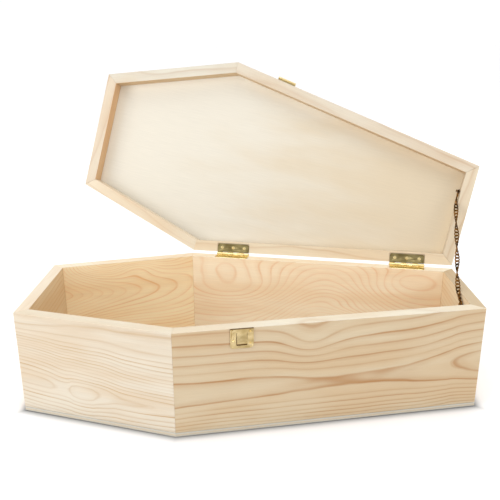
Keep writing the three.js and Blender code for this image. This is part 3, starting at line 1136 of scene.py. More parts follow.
@dataclass(frozen=True)
class PlywoodFinish:
    """Thin pale plywood: smooth face veneer, layers along its edge, and painted light inside a
    frame.
    """

    name: str
    face: Colour
    face_warm: Colour
    core: Colour = tone(222, 196, 156)
    thickness: float = SHAPE.base_thickness
    lean: float = 0.0
    roughness: float = 0.58
    cloud_size: Point = (120, 30, 40)
    streak_size: Point = (30, 0.9, 3)
    core_size: Point = (1.2, 1.2, 0.4)
    layers: Stops = ((0.3, 0.0), (0.34, 0.75), (0.66, 0.75), (0.7, 0.0))
    relief_depth: float = 0.00008
    skin: float = 0.1
    frame_width: float = SHAPE.board_thickness
    # Painted light: a paler border on the underside inside the frame, along these sides
    painted_light_sides: tuple[Side, ...] = ()
    painted_light_reach: float = 20.0
    painted_light_border: Stops = ((0.0, 1.2), (0.25, 1.18), (0.5, 1.1), (0.75, 1.03), (1.0, 1.0))

    def material(self, place: Matrix) -> bpy.types.Material:
        """Makes the finish for one panel.

        Args:
            place: The panel's frame, with z up through its thickness from its underside.

        Returns:
            The material.
        """
        nodes = Nodes(self.name)
        where = nodes.place(place)
        cloud = nodes.noise(where, self.cloud_size, 3)
        lean = nodes.vector("DOT_PRODUCT", where, (self.lean, 0.0, 0.0))
        share = nodes.math("MULTIPLY_ADD", cloud, 0.6, nodes.math("ADD", lean, 0.2))
        veneer = nodes.curve(share, [(0.3, self.face), (0.8, self.face_warm)])
        streak = nodes.noise(where, self.streak_size, 3, 0.6)
        shade = nodes.curve(streak, [(0.25, 0.955), (0.75, 1.03)], ease=False)
        veneer = nodes.mix(1.0, veneer, shade, "MULTIPLY")
        height = nodes.vector("DOT_PRODUCT", where, (0.0, 0.0, 1 / self.thickness))
        core = nodes.curve(height, self.layers, ease=False)
        grain = nodes.noise(where, self.core_size, 2)
        core_tone = nodes.curve(grain, [(0.3, self.core), (0.7, self.face_warm)])
        wood = nodes.mix(core, veneer, core_tone)
        # Painted light along the frame's inner edges
        if self.painted_light_sides:
            wood = nodes.mix(1.0, wood, self._painted_light_border(nodes, where, height), "MULTIPLY")
        gloss = nodes.curve(streak, [(0.2, self.roughness - 0.06), (0.8, self.roughness + 0.06)])
        nodes.surface(
            Base_Color=wood,
            Roughness=gloss,
            Specular_IOR_Level=0.35,
            Normal=nodes.relief(streak, 0.2, self.relief_depth),
        )
        return nodes.material

    def _painted_light_border(
        self, nodes: Nodes, where: bpy.types.NodeSocket, height: bpy.types.NodeSocket
    ) -> bpy.types.NodeSocket:
        """Painted light: paler veneer just inside the frame, which stands for light that bounces
        there.

        Args:
            nodes: The panel's tree.
            where: Coordinates in millimetres.
            height: Height from the underside, as a share of the thickness.

        Returns:
            A grey that multiplies the colour of the underside.
        """
        beyond = beyond_outline(nodes, where, self.painted_light_sides)
        share = nodes.share(beyond, -self.frame_width, -self.frame_width - self.painted_light_reach)
        border = nodes.curve(share, self.painted_light_border, ease=False)
        is_below = nodes.math("LESS_THAN", height, self.skin)
        return nodes.mix(is_below, (1.0, 1.0, 1.0), border)


@dataclass(frozen=True)
class BrassFinish:
    """Plated brass sheet or wire: rolling streaks, dull patches and small scratches."""

    name: str
    bright: Colour = tone(224, 203, 150)
    dull: Colour = tone(202, 178, 124)
    roughness: float = 0.3
    streak: float = 14.0
    streak_width: float = 0.35
    cloud_size: Point = (11, 5, 5)
    spot_size: Point = (0.9, 0.9, 0.9)
    relief_depth: float = 0.00006
    # Painted shade, if given: a dark tone along the sheet's upper edge and on the ground deep in
    # its slot
    painted_shade: Colour | None = None
    painted_shade_top: Point = (-1.2, -0.8)
    painted_shade_ground: Point = (0.34, 0.4)

    def material(self, place: Matrix) -> bpy.types.Material:
        """Makes the finish for one fitting.

        Args:
            place: The fitting's frame, with x along the streaks.

        Returns:
            The material.
        """
        nodes = Nodes(self.name)
        where = nodes.place(place)
        cloud = nodes.noise(where, self.cloud_size, 2, 0.5)
        metal = nodes.curve(cloud, [(0.34, self.bright), (0.7, self.dull)])
        lines = (self.streak, self.streak_width, self.streak_width)
        streak = nodes.noise(where, lines, 3, 0.65)
        shade = nodes.curve(streak, [(0.25, 0.88), (0.75, 1.06)], ease=False)
        metal = nodes.mix(1.0, metal, shade, "MULTIPLY")
        spots = nodes.noise(where, self.spot_size, 2)
        pits = nodes.curve(spots, [(0.7, 0.0), (0.8, 0.35)])
        metal = nodes.mix(pits, metal, self.dull)
        # Painted shade along the upper edge and in the slot
        if self.painted_shade:
            metal = nodes.mix(self._shade(nodes, where), metal, self.painted_shade)
        gloss = nodes.curve(
            cloud, [(0.3, self.roughness - 0.06), (0.75, self.roughness + 0.16)], ease=False
        )
        nodes.surface(
            Base_Color=metal,
            Metallic=1.0,
            Roughness=gloss,
            Normal=nodes.relief(streak, 0.3, self.relief_depth),
        )
        return nodes.material

    def _shade(self, nodes: Nodes, where: bpy.types.NodeSocket) -> bpy.types.NodeSocket:
        """Painted shade: how dark the sheet is along its upper edge and deep in its slot.

        Args:
            nodes: The fitting's tree.
            where: Coordinates in millimetres.

        Returns:
            A share from 0 to 1.
        """
        height = nodes.vector("DOT_PRODUCT", where, (0.0, 1.0, 0.0))
        top = nodes.curve(nodes.share(height, *self.painted_shade_top), [(0.0, 0.0), (1.0, 0.85)])
        depth = nodes.vector("DOT_PRODUCT", where, (0.0, 0.0, 1.0))
        ground = nodes.curve(nodes.share(depth, *self.painted_shade_ground), [(0.0, 0.95), (1.0, 0.0)])
        return nodes.math("MAXIMUM", top, ground)


# Wooden parts


@dataclass
class Boards:
    """The box's six walls and the lid's six rails, mitred at the corners."""

    shape: CoffinShape
    edge_width: float = 0.25
    edge_angle: float = 50
    mitre_reach: float = 0.12
    weld_distance: float = 0.01
    flat_angle: float = 1

    def board_frame(self, side: Side, bottom: float, height: float, inside: bool) -> Matrix:
        """Frame that a board's grain is drawn in.

        Args:
            side: Side of the coffin.
            bottom: Height of the board's lower edge.
            height: Height of the board.
            inside: Whether the face that shows is the inner one.

        Returns:
            A frame in the middle of that face: x along it, y up, z out of the face.
        """
        middle = self.shape.on_face(side, self.shape.span(side) / 2, bottom + height / 2)
        if not inside:
            return middle
        inwards = Matrix.Translation((0, 0, -self.shape.board_thickness))
        return middle @ inwards @ Matrix.Rotation(math.pi, 4, "Y")

    def glued(self, piece: bpy.types.Object, place: Matrix) -> bpy.types.Object:
        """Draws a board's mitres close to its neighbours' at both ends.

        Args:
            piece: The board, in place.
            place: Its frame, with x along it.

        Returns:
            The same board.
        """
        along = place.to_3x3() @ Vector((1, 0, 0))
        for way in (-1, 1):
            out = along * way
            with editing(piece, "face", lambda face, out=out: face.normal.dot(out) > 0.5):
                bpy.ops.transform.translate(value=out * self.mitre_reach * METRES)
        return piece

    def board(
        self, name: str, node: str, finish: bpy.types.Material, edge_width: float | None = None
    ) -> bpy.types.Object:
        """Cleans a copy of a board's solid and eases its edges.

        Args:
            name: Name of the new piece.
            node: The solid that it comes from.
            finish: Its material.
            edge_width: Width taken off its edges, the boards' own if left out.

        Returns:
            The new piece.
        """
        piece = copied(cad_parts[node], name)
        for key in list(piece.keys()):
            del piece[key]
        piece.parent = None
        piece.data.materials.clear()
        piece.data.materials.append(finish)
        with editing(piece, "face", lambda face: True):
            bpy.ops.mesh.remove_doubles(threshold=self.weld_distance * METRES)
            bpy.ops.mesh.dissolve_limited(angle_limit=math.radians(self.flat_angle))
        for face in piece.data.polygons:
            face.use_smooth = False
        width = (edge_width or self.edge_width) * METRES
        return eased(piece, width, steps=2, angle=self.edge_angle)

    def build(self) -> None:
        """Makes every wall and rail."""
        shape = self.shape
        for side in Side:
            inside = side not in (Side.FRONT, Side.HEAD_FRONT)
            label = side.value
            place = self.board_frame(side, shape.wall_bottom, shape.wall_height, inside)
            finish = PineFinish(f"pine_{label}", FIGURES[label]).material(place)
            wall = self.glued(self.board(f"board_{label}", f"wall_{label}", finish), place)
            handed_over(wall, Body.BOX, Slot.PINE, f"wall_{label}")
            place = shape.lid_turn() @ self.board_frame(
                side, shape.lid_bottom, shape.rail_height, inside
            )
            finish = PineFinish(f"pine_lid_{label}", FIGURES[f"lid_{label}"]).material(place)
            rail = self.glued(self.board(f"lid_board_{label}", f"lid_rail_{label}", finish), place)
            handed_over(rail, Body.LID, Slot.PINE, f"lid_rail_{label}")


@dataclass
class Panels:
    """The plywood base and the plywood panel on the lid."""

    shape: CoffinShape
    edge_width: float = 0.3
    foot_rounding: float = 0.9
    foot_steps: int = 3
    ground: float = 0.01

    def build(self, boards: Boards) -> None:
        """Makes both panels.

        Args:
            boards: Cleans a solid's copy in the way that suits wood.
        """
        shape = self.shape
        top = shape.lid_bottom + shape.rail_height + shape.glue_line
        on_lid = shape.lid_turn() @ Matrix.Translation((0, 0, top))
        base_finish = PlywoodFinish(
            "plywood_base_panel", face=tone(200, 197, 187), face_warm=tone(196, 188, 172)
        )
        lid_finish = PlywoodFinish(
            "plywood_lid_panel",
            face=tone(217, 211, 197),
            face_warm=tone(210, 195, 169),
            lean=0.0017,
            # Painted light inside the lid's frame on four sides
            painted_light_sides=(Side.FOOT, Side.FRONT, Side.HEAD_FRONT, Side.HEAD),
        )
        rows = [
            ("panel_base", "base_panel", Body.BOX, Matrix.Identity(4), base_finish),
            ("panel_lid", "lid_panel", Body.LID, on_lid, lid_finish),
        ]
        for name, node, body, place, finish in rows:
            piece = boards.board(name, node, finish.material(place), self.edge_width)
            if body is Body.BOX:
                edges_rounded(
                    piece,
                    self.foot_rounding * METRES,
                    self.foot_steps,
                    lambda edge: edge[0].z < self.ground * METRES,
                )
            handed_over(piece, body, Slot.PLYWOOD, node)


# Hinges


@dataclass
class HingeScrew:
    """Countersunk screw with a cross recess; its axis is z and its head's top is at zero."""

    head_radius: float = 1.9
    head_depth: float = 0.9
    crown: float = 0.12
    rim_share: float = 0.35
    dome_share: float = 0.3
    shoulder_share: float = 0.7
    shank_radius: float = 1.0
    length: float = 8.5
    point: float = 0.15
    facets: int = 24
    ease: float = 0.05
    recess_width: float = 0.42
    recess_reach: float = 1.15
    recess_depth: float = 0.75

    def build(self, name: str) -> bpy.types.Object:
        """Models one screw in millimetres.

        Args:
            name: Name of the new object.

        Returns:
            The screw.
        """
        depth = self.head_depth
        shoulder = self.crown * self.shoulder_share
        screw = rod(
            name, (0, 0, -depth), (0, 0, 0), self.shank_radius, self.head_radius, self.facets
        )
        with editing(screw, "face", lambda face: face.normal.z > ALIGNED):
            bpy.ops.mesh.inset(thickness=self.head_radius * self.rim_share)
            bpy.ops.transform.translate(value=(0, 0, shoulder))
            bpy.ops.mesh.inset(thickness=self.head_radius * self.dome_share)
            bpy.ops.transform.translate(value=(0, 0, self.crown - shoulder))
        with editing(screw, "face", lambda face: face.normal.z < -ALIGNED):
            shank_drawn(self.length - depth, self.shank_radius * 2, self.point)
        half, reach, top = self.recess_width / 2, self.recess_reach, self.crown * 3
        bars = [
            block("bar", (-reach, -half, -self.recess_depth), (reach, half, top)),
            block("bar", (-half, -reach, -self.recess_depth), (half, reach, top)),
        ]
        carved(screw, Carve.REMOVE, *bars)
        return smoothed(eased(screw, self.ease, angle=50))


@dataclass
class ButtHinge:
    """One brass butt hinge: two leaves with rolled knuckles, a pin and six screws."""

    shape: CoffinShape
    hand: str
    along: float
    length: float = 38
    leaf_width: float = 9.7
    leaf_thickness: float = 1
    plate_inset: float = 0.25
    corner_radius: float = 2.2
    corner_steps: int = 6
    plate_edge: float = 0.3
    knuckle_radius: float = 1.9
    knuckles: int = 6
    knuckle_gap: float = 0.2
    neck_drop: float = 0.4
    neck_sink: float = 0.02
    neck_short: float = 0.9
    pin_radius: float = 0.9
    pin_play: float = 0.06
    pin_out: float = 0.2
    pin_head_radius: float = 1.4
    pin_head_height: float = 0.5
    pin_head_taper: float = 0.72
    hole_radius: float = 1.2
    sink_radius: float = 2.05
    facets: int = 24
    hole_overshoot: float = 0.01
    leaf_ease: float = 0.1
    pin_ease: float = 0.08
    screw_pitch: float = 13.4
    screw_from_face: float = 5.2
    screw_turn: float = 0.5
    screw_turn_step: float = 1.1

    @property
    def axis(self) -> tuple[float, float]:
        """Height and distance outwards of the pin."""
        return self.shape.lid_gap / 2, self.shape.hinge_axis_out

    def frame(self, of_lid: bool) -> Matrix:
        """Frame of one half; the lid's is the box's turned half round.

        Args:
            of_lid: Whether it is the lid's half.

        Returns:
            A frame at the board's edge: x along it, y up, z outwards.
        """
        place = self.shape.on_face(Side.BACK, self.along, self.shape.rim_height)
        if not of_lid:
            return place
        across_gap = Matrix.Translation((0, self.shape.lid_gap, 0))
        return self.shape.lid_turn() @ place @ across_gap @ Matrix.Rotation(math.pi, 4, "Z")

    def leaf(self) -> bpy.types.Object:
        """Models a leaf with every second knuckle.

        Returns:
            The leaf, in millimetres, about the middle of the hinge.
        """
        half = self.length / 2
        short = half - self.plate_inset
        plate = block(
            "leaf", (-short, -self.leaf_thickness, -self.leaf_width), (short, 0, self.plate_edge)
        )
        edges_rounded(
            plate,
            self.corner_radius,
            self.corner_steps,
            lambda edge: abs(edge[1].y) > ALIGNED and edge[0].z < -self.leaf_width + NEAR,
        )
        height, out = self.axis
        step = self.length / self.knuckles
        additions = []
        for number in range(0, self.knuckles, 2):
            start = -half + number * step + (self.knuckle_gap / 2 if number else 0)
            end = -half + (number + 1) * step - self.knuckle_gap / 2
            additions.append(
                rod("knuckle", (start, height, out), (end, height, out), self.knuckle_radius)
            )
            neck_low = (start, -self.leaf_thickness, -self.neck_drop)
            neck_high = (end, -self.neck_sink, out - self.neck_short)
            additions.append(block("neck", neck_low, neck_high))
        carved(plate, Carve.ADD, *additions)
        bore = self.pin_radius + self.pin_play
        cuts = [rod("bore", (-half - 1, height, out), (half + 1, height, out), bore)]
        for spot in self.screw_spots():
            where = (spot, self.hole_overshoot, -self.screw_from_face)
            below = (spot, -self.leaf_thickness - self.hole_overshoot, -self.screw_from_face)
            hole = rod("hole", below, where, self.hole_radius, self.sink_radius, self.facets)
            cuts.append(hole)
        carved(plate, Carve.REMOVE, *cuts)
        return smoothed(eased(plate, self.leaf_ease))

    def screw_spots(self) -> list[float]:
        """Places of the three screws along the hinge."""
        return [number * self.screw_pitch for number in (-1, 0, 1)]

    def pin(self) -> bpy.types.Object:
        """Models the pin with its two rivet heads, in millimetres.

        Returns:
            The pin.
        """
        height, out = self.axis
        end = self.length / 2 + self.pin_out
        pin = rod(
            "pin", (-end, height, out), (end, height, out), self.pin_radius, facets=self.facets
        )
        heads = []
        for way in (-1, 1):
            head = rod(
                "head",
                (way * (end - self.pin_out / 2), height, out),
                (way * (end + self.pin_head_height), height, out),
                self.pin_head_radius,
                self.pin_head_radius * self.pin_head_taper,
                self.facets,
            )
            heads.append(head)
        return smoothed(eased(carved(pin, Carve.ADD, *heads), self.pin_ease))

    def build(
        self,
        leaf: bpy.types.Object,
        screw: bpy.types.Object,
        dull: BrassFinish,
        bright: BrassFinish,
    ) -> None:
        """Sets one hinge from copies of a leaf and a screw.

        Args:
            leaf: The leaf to copy.
            screw: The screw to copy.
            dull: Finish of the lid's flat leaf, a darker copy of the brass that is painted shade.
            bright: Finish of the box's flat leaf, knuckles, pin and screws, a brighter copy of the
                brass that is painted light.
        """
        upright = Matrix.Rotation(-math.pi / 2, 4, "X")
        for part, body, of_lid in (("box", Body.BOX, False), ("lid", Body.LID, True)):
            place = self.frame(of_lid)
            name = f"hinge_{self.hand}_{part}"
            piece = copied(leaf, f"{name}_plate")
            # Painted light and shade: the lid's leaf takes the darker copy of the brass and the
            # box's leaf the brighter one
            piece.data.materials.append((dull if of_lid else bright).material(place))
            piece.data.materials.append(bright.material(place))
            for face in piece.data.polygons:
                face.material_index = int(face.center.z > self.plate_edge)
            handed_over(placed(piece, place), body, Slot.BRASS, f"{name}_leaf")
            metal = bright.material(place)
            for number, spot in enumerate(self.screw_spots()):
                angle = self.screw_turn + self.screw_turn_step * number
                twist = Matrix.Rotation(angle, 4, "Z")
                spot_place = Matrix.Translation((spot, 0, -self.screw_from_face))
                set_copy(
                    screw,
                    f"{name}_fixing_{number + 1}",
                    metal,
                    place @ spot_place @ upright @ twist,
                    body,
                    Slot.BRASS,
                    f"{name}_screw_{number + 1}",
                )
        place = self.frame(False)
        pin = self.pin()
        pin.name = f"hinge_{self.hand}_rod"
        pin.data.materials.append(bright.material(place))
        handed_over(placed(pin, place), Body.BOX, Slot.BRASS, f"hinge_{self.hand}_pin")


# Latch


@dataclass
class Brad:
    """Dome-headed nail; its axis is z and its head sits on zero."""

    head_radius: float = 1.15
    head_height: float = 0.8
    shank_radius: float = 0.45
    length: float = 5.6
    point: float = 0.2
    facets: int = 20
    rings: int = 12

    def build(self, name: str) -> bpy.types.Object:
        """Models one brad in millimetres.

        Args:
            name: Name of the new object.

        Returns:
            The brad.
        """
        brad = dome(name, self.head_radius, self.head_height, self.facets, self.rings)
        with editing(brad, "face", lambda face: face.normal.z < -ALIGNED):
            bpy.ops.mesh.inset(thickness=self.head_radius - self.shank_radius)
            bpy.ops.mesh.extrude_region_move(
                TRANSFORM_OT_translate={"value": (0, 0, -self.length)}
            )
            bpy.ops.transform.resize(value=(self.point, self.point, 1))
        return smoothed(brad, 40)


@dataclass
class CatchPlate:
    """Brass plate on the front with a sprung tongue that the hasp's window drops over."""

    shape: CoffinShape
    along: float = 63
    width: float = 21.5
    height: float = 19.5
    inner: float = 0.2
    thickness: float = 0.8
    corner_radius: float = 3
    corner_steps: int = 8
    ease: float = 0.09
    border: float = 1.0
    border_slope: float = 0.2
    border_height: float = 0.3
    tongue_width: float = 9.4
    tongue_length: float = 10
    tongue_top: float = 4.5
    tongue_root: float = 0.5
    tongue_behind: float = 0.31
    tongue_sink: float = 0.02
    tongue_cuts: int = 7
    standoff: float = 2.2
    slot: float = 2.4
    slot_gap: float = 0.4
    slot_rounding: float = 0.8
    # Thin sheet left at the back of the slot, which the painted shade darkens to stand for a dark
    # hole
    shade_sheet_thickness: float = 0.1
    rib_across: Point = (1.4, 3.0)
    rib_up: Point = (-9.4, -1.4)
    rib_sink: float = 0.2
    rib_height: float = 0.6
    rib_rounding: float = 0.5
    rounding_steps: int = 4
    hole_radius: float = 0.6
    hole_facets: int = 20
    brad_sink: float = 0.14
    brads: tuple[tuple[float, float], ...] = ((-7.85, -12), (7.85, -15), (7.85, -3.2))

    def place(self) -> Matrix:
        """Frame at the middle of the plate's top edge."""
        return self.shape.on_face(Side.FRONT, self.along, self.shape.rim_height)

    def plate(self) -> bpy.types.Object:
        """Models the plate with its border, slot, tongue, rib and holes.

        Returns:
            The plate, in millimetres.
        """
        half, outer = self.width / 2, self.inner + self.thickness
        plate = block("catch_plate_sheet", (-half, -self.height, self.inner), (half, 0, outer))
        edges_rounded(
            plate,
            self.corner_radius,
            self.corner_steps,
            lambda edge: abs(edge[1].z) > ALIGNED and edge[0].y < -self.height + NEAR,
        )
        with editing(plate, "face", lambda face: face.normal.z > ALIGNED):
            bpy.ops.mesh.inset(thickness=self.border - self.border_slope)
            bpy.ops.mesh.inset(thickness=self.border_slope)
            bpy.ops.transform.translate(value=(0, 0, -self.border_height))
        top, end = -self.tongue_top, -self.tongue_top - self.tongue_length
        side = self.tongue_width / 2
        slot_side = side + self.slot_gap
        # The slot stops on a thin sheet that carries painted shade
        ground = self.inner + self.shade_sheet_thickness
        slot = block(
            "slot", (-slot_side, end - self.slot, ground), (slot_side, top, outer + 1)
        )
        edges_rounded(
            slot,
            self.slot_rounding,
            self.rounding_steps,
            lambda edge: abs(edge[1].z) > ALIGNED and edge[0].y < top - 1,
        )
        carved(plate, Carve.REMOVE, slot)
        carved(plate, Carve.ADD, self.tongue(side, top, end, outer))
        rib_top = outer + self.rib_height
        rib = block(
            "rib",
            (self.rib_across[0] - half, self.rib_up[0], self.inner + self.rib_sink),
            (self.rib_across[1] - half, self.rib_up[1], rib_top),
        )
        edges_rounded(
            rib,
            self.rib_rounding,
            self.rounding_steps,
            lambda edge: edge[0].z > rib_top - NEAR,
        )
        carved(plate, Carve.ADD, rib)
        holes = [
            rod("hole", (x, y, -1), (x, y, outer + 1), self.hole_radius, facets=self.hole_facets)
            for x, y in self.brads
        ]
        carved(plate, Carve.REMOVE, *holes)
        return smoothed(eased(plate, self.ease, angle=45), 35)

    def tongue(self, side: float, top: float, end: float, outer: float) -> bpy.types.Object:
        """Models the tongue: it springs out of the plate and its end is folded.

        Args:
            side: Half of its width.
            top: Height of its root.
            end: Height of its free end.
            outer: Distance of the plate's front.

        Returns:
            The tongue, in millimetres.
        """
        root = top + self.tongue_root
        tongue = block(
            "tongue",
            (-side, end, self.inner + self.tongue_sink),
            (side, root, outer - self.tongue_behind),
        )
        with editing(tongue, "face", lambda face: True):
            bpy.ops.mesh.subdivide(number_cuts=self.tongue_cuts)
        for corner in tongue.data.vertices:
            share = min(1.0, max(0.0, (top - corner.co.y) / (top - end)))
            eased_share = share * share * (3 - 2 * share)
            corner.co.z += self.standoff * eased_share
        return tongue

    def build(self, brad: bpy.types.Object, finish: BrassFinish, nail_finish: BrassFinish) -> None:
        """Sets the plate and its brads.

        Args:
            brad: The brad to copy.
            finish: The plate's brass.
            nail_finish: The brads' brass.
        """
        place = self.place()
        metal, nail_metal = finish.material(place), nail_finish.material(place)
        plate = self.plate()
        plate.data.materials.append(metal)
        handed_over(placed(plate, place), Body.BOX, Slot.BRASS, "catch_plate")
        seat = self.inner + self.thickness - self.brad_sink
        for number, (x, y) in enumerate(self.brads):
            set_copy(
                brad,
                f"catch_nail_{number + 1}",
                nail_metal,
                place @ Matrix.Translation((x, y, seat)),
                Body.BOX,
                Slot.BRASS,
                f"catch_brad_{number + 1}",
            )


@dataclass
class Hasp:
    """Brass hasp on the lid: a plate, a pin and a flap with a window, folded back."""

    shape: CoffinShape
    along: float = 63
    width: float = 21.5
    inner: float = 0.2
    thickness: float = 0.8
    plate_bottom: float = 0.2
    plate_top: float = 15.4
    plate_rounding: float = 1.6
    axis_up: float = 1.4
    axis_out: float = 2.5
    knuckle_radius: float = 1.3
    knuckle_length: float = 3.8
    knuckle_gap: float = 0.2
    neck_sink: float = 0.05
    pin_radius: float = 0.6
    pin_play: float = 0.05
    pin_ease: float = 0.1
    hole_radius: float = 0.6
    hole_facets: int = 20
    ease: float = 0.09
    overlap: float = 0.02
    rounding_steps: int = 5
    window_half: float = 5.1
    window_low: float = 7.3
    window_high: float = 18.1
    window_rounding: float = 0.8
    window_steps: int = 4
    rail: float = 1.2
    flap_rounding: float = 1.3
    lip: float = 2.4
    lip_inset: float = 1.3
    brads: tuple[tuple[float, float], ...] = ((-7.85, 8.5), (7.85, 8.5))

    def place(self) -> Matrix:
        """Frame at the lid's lower edge on the front, with the lid open."""
        shape = self.shape
        return shape.lid_turn() @ shape.on_face(Side.FRONT, self.along, shape.lid_bottom)

    def barrel(self, name: str, start: float, end: float, radius: float) -> bpy.types.Object:
        """A rod along the hasp's axis."""
        where = (self.axis_up, self.axis_out)
        return rod(name, (start, *where), (end, *where), radius, facets=24)

    def plate(self) -> bpy.types.Object:
        """Models the plate that is nailed to the lid, with its two knuckles.

        Returns:
            The plate, in millimetres.
        """
        half, outer = self.width / 2, self.inner + self.thickness
        low, high = (-half, self.plate_bottom, self.inner), (half, self.plate_top, outer)
        plate = block("hasp_sheet", low, high)
        edges_rounded(
            plate,
            self.plate_rounding,
            self.rounding_steps,
            lambda edge: abs(edge[1].z) > ALIGNED and edge[0].y > self.plate_top - NEAR,
        )
        for way in (-1, 1):
            start, end = sorted((way * (half - self.knuckle_length), way * half))
            neck_low = (start, self.axis_up, self.inner + self.neck_sink)
            neck_top = self.axis_up + self.knuckle_radius - self.overlap
            neck_high = (end, neck_top, self.axis_out)
            knuckle = self.barrel("knuckle", start, end, self.knuckle_radius)
            carved(plate, Carve.ADD, knuckle, block("neck", neck_low, neck_high))
        holes = [self.barrel("bore", -half - 1, half + 1, self.pin_radius + self.pin_play)]
        holes += [
            rod("hole", (x, y, -1), (x, y, 3), self.hole_radius, facets=self.hole_facets)
            for x, y in self.brads
        ]
        carved(plate, Carve.REMOVE, *holes)
        return smoothed(eased(plate, self.ease, angle=45), 35)

    def flap(self) -> bpy.types.Object:
        """Models the flap: a window with narrow rails, a lip and a rolled knuckle.

        Returns:
            The flap, in millimetres.
        """
        outer = self.axis_out + self.knuckle_radius
        half = self.window_half + self.rail
        end = self.window_high + self.rail
        inner = outer - self.thickness
        flap = block("flap", (-half, self.axis_up, inner), (half, end, outer - self.overlap))
        edges_rounded(
            flap,
            self.flap_rounding,
            self.rounding_steps,
            lambda edge: abs(edge[1].z) > ALIGNED and edge[0].y > end - NEAR,
        )
        window_low = (-self.window_half, self.window_low, 0)
        window = block("window", window_low, (self.window_half, self.window_high, 9))
        edges_rounded(
            window,
            self.window_rounding,
            self.window_steps,
            lambda edge: abs(edge[1].z) > ALIGNED,
        )
        carved(flap, Carve.REMOVE, window)
        reach = self.width / 2 - self.knuckle_length - self.knuckle_gap
        knuckle = self.barrel("knuckle", -reach, reach, self.knuckle_radius)
        lip_half = half - self.lip_inset
        lip = block(
            "lip",
            (-lip_half, end - self.thickness, outer - self.lip),
            (lip_half, end - self.overlap, outer - 2 * self.overlap),
        )
        carved(flap, Carve.ADD, knuckle, lip)
        carved(flap, Carve.REMOVE, self.barrel("bore", -9, 9, self.pin_radius + self.pin_play))
        return smoothed(eased(flap, self.ease, angle=45), 35)

    def build(self, brad: bpy.types.Object, finish: BrassFinish) -> None:
        """Sets the hasp's plate, pin, flap and brads.

        Args:
            brad: The brad to copy.
            finish: Their brass.
        """
        place = self.place()
        metal = finish.material(place)
        half = self.width / 2
        pin = self.barrel("hasp_rod", -half, half, self.pin_radius)
        smoothed(eased(pin, self.pin_ease))
        rows = [
            ("hasp_sheet", self.plate(), Body.LID, "hasp_plate"),
            ("hasp_rod", pin, Body.LID, "hasp_pin"),
            ("hasp_leaf", self.flap(), Body.HASP, "hasp_flap"),
        ]
        for name, piece, body, node in rows:
            piece.name = name
            piece.data.materials.append(metal)
            handed_over(placed(piece, place), body, Slot.BRASS, node)
        seat = self.inner + self.thickness
        for number, (x, y) in enumerate(self.brads):
            set_copy(
                brad,
                f"hasp_nail_{number + 1}",
                metal,
                place @ Matrix.Translation((x, y, seat)),
                Body.LID,
                Slot.BRASS,
                f"hasp_brad_{number + 1}",
            )


# Stay chain


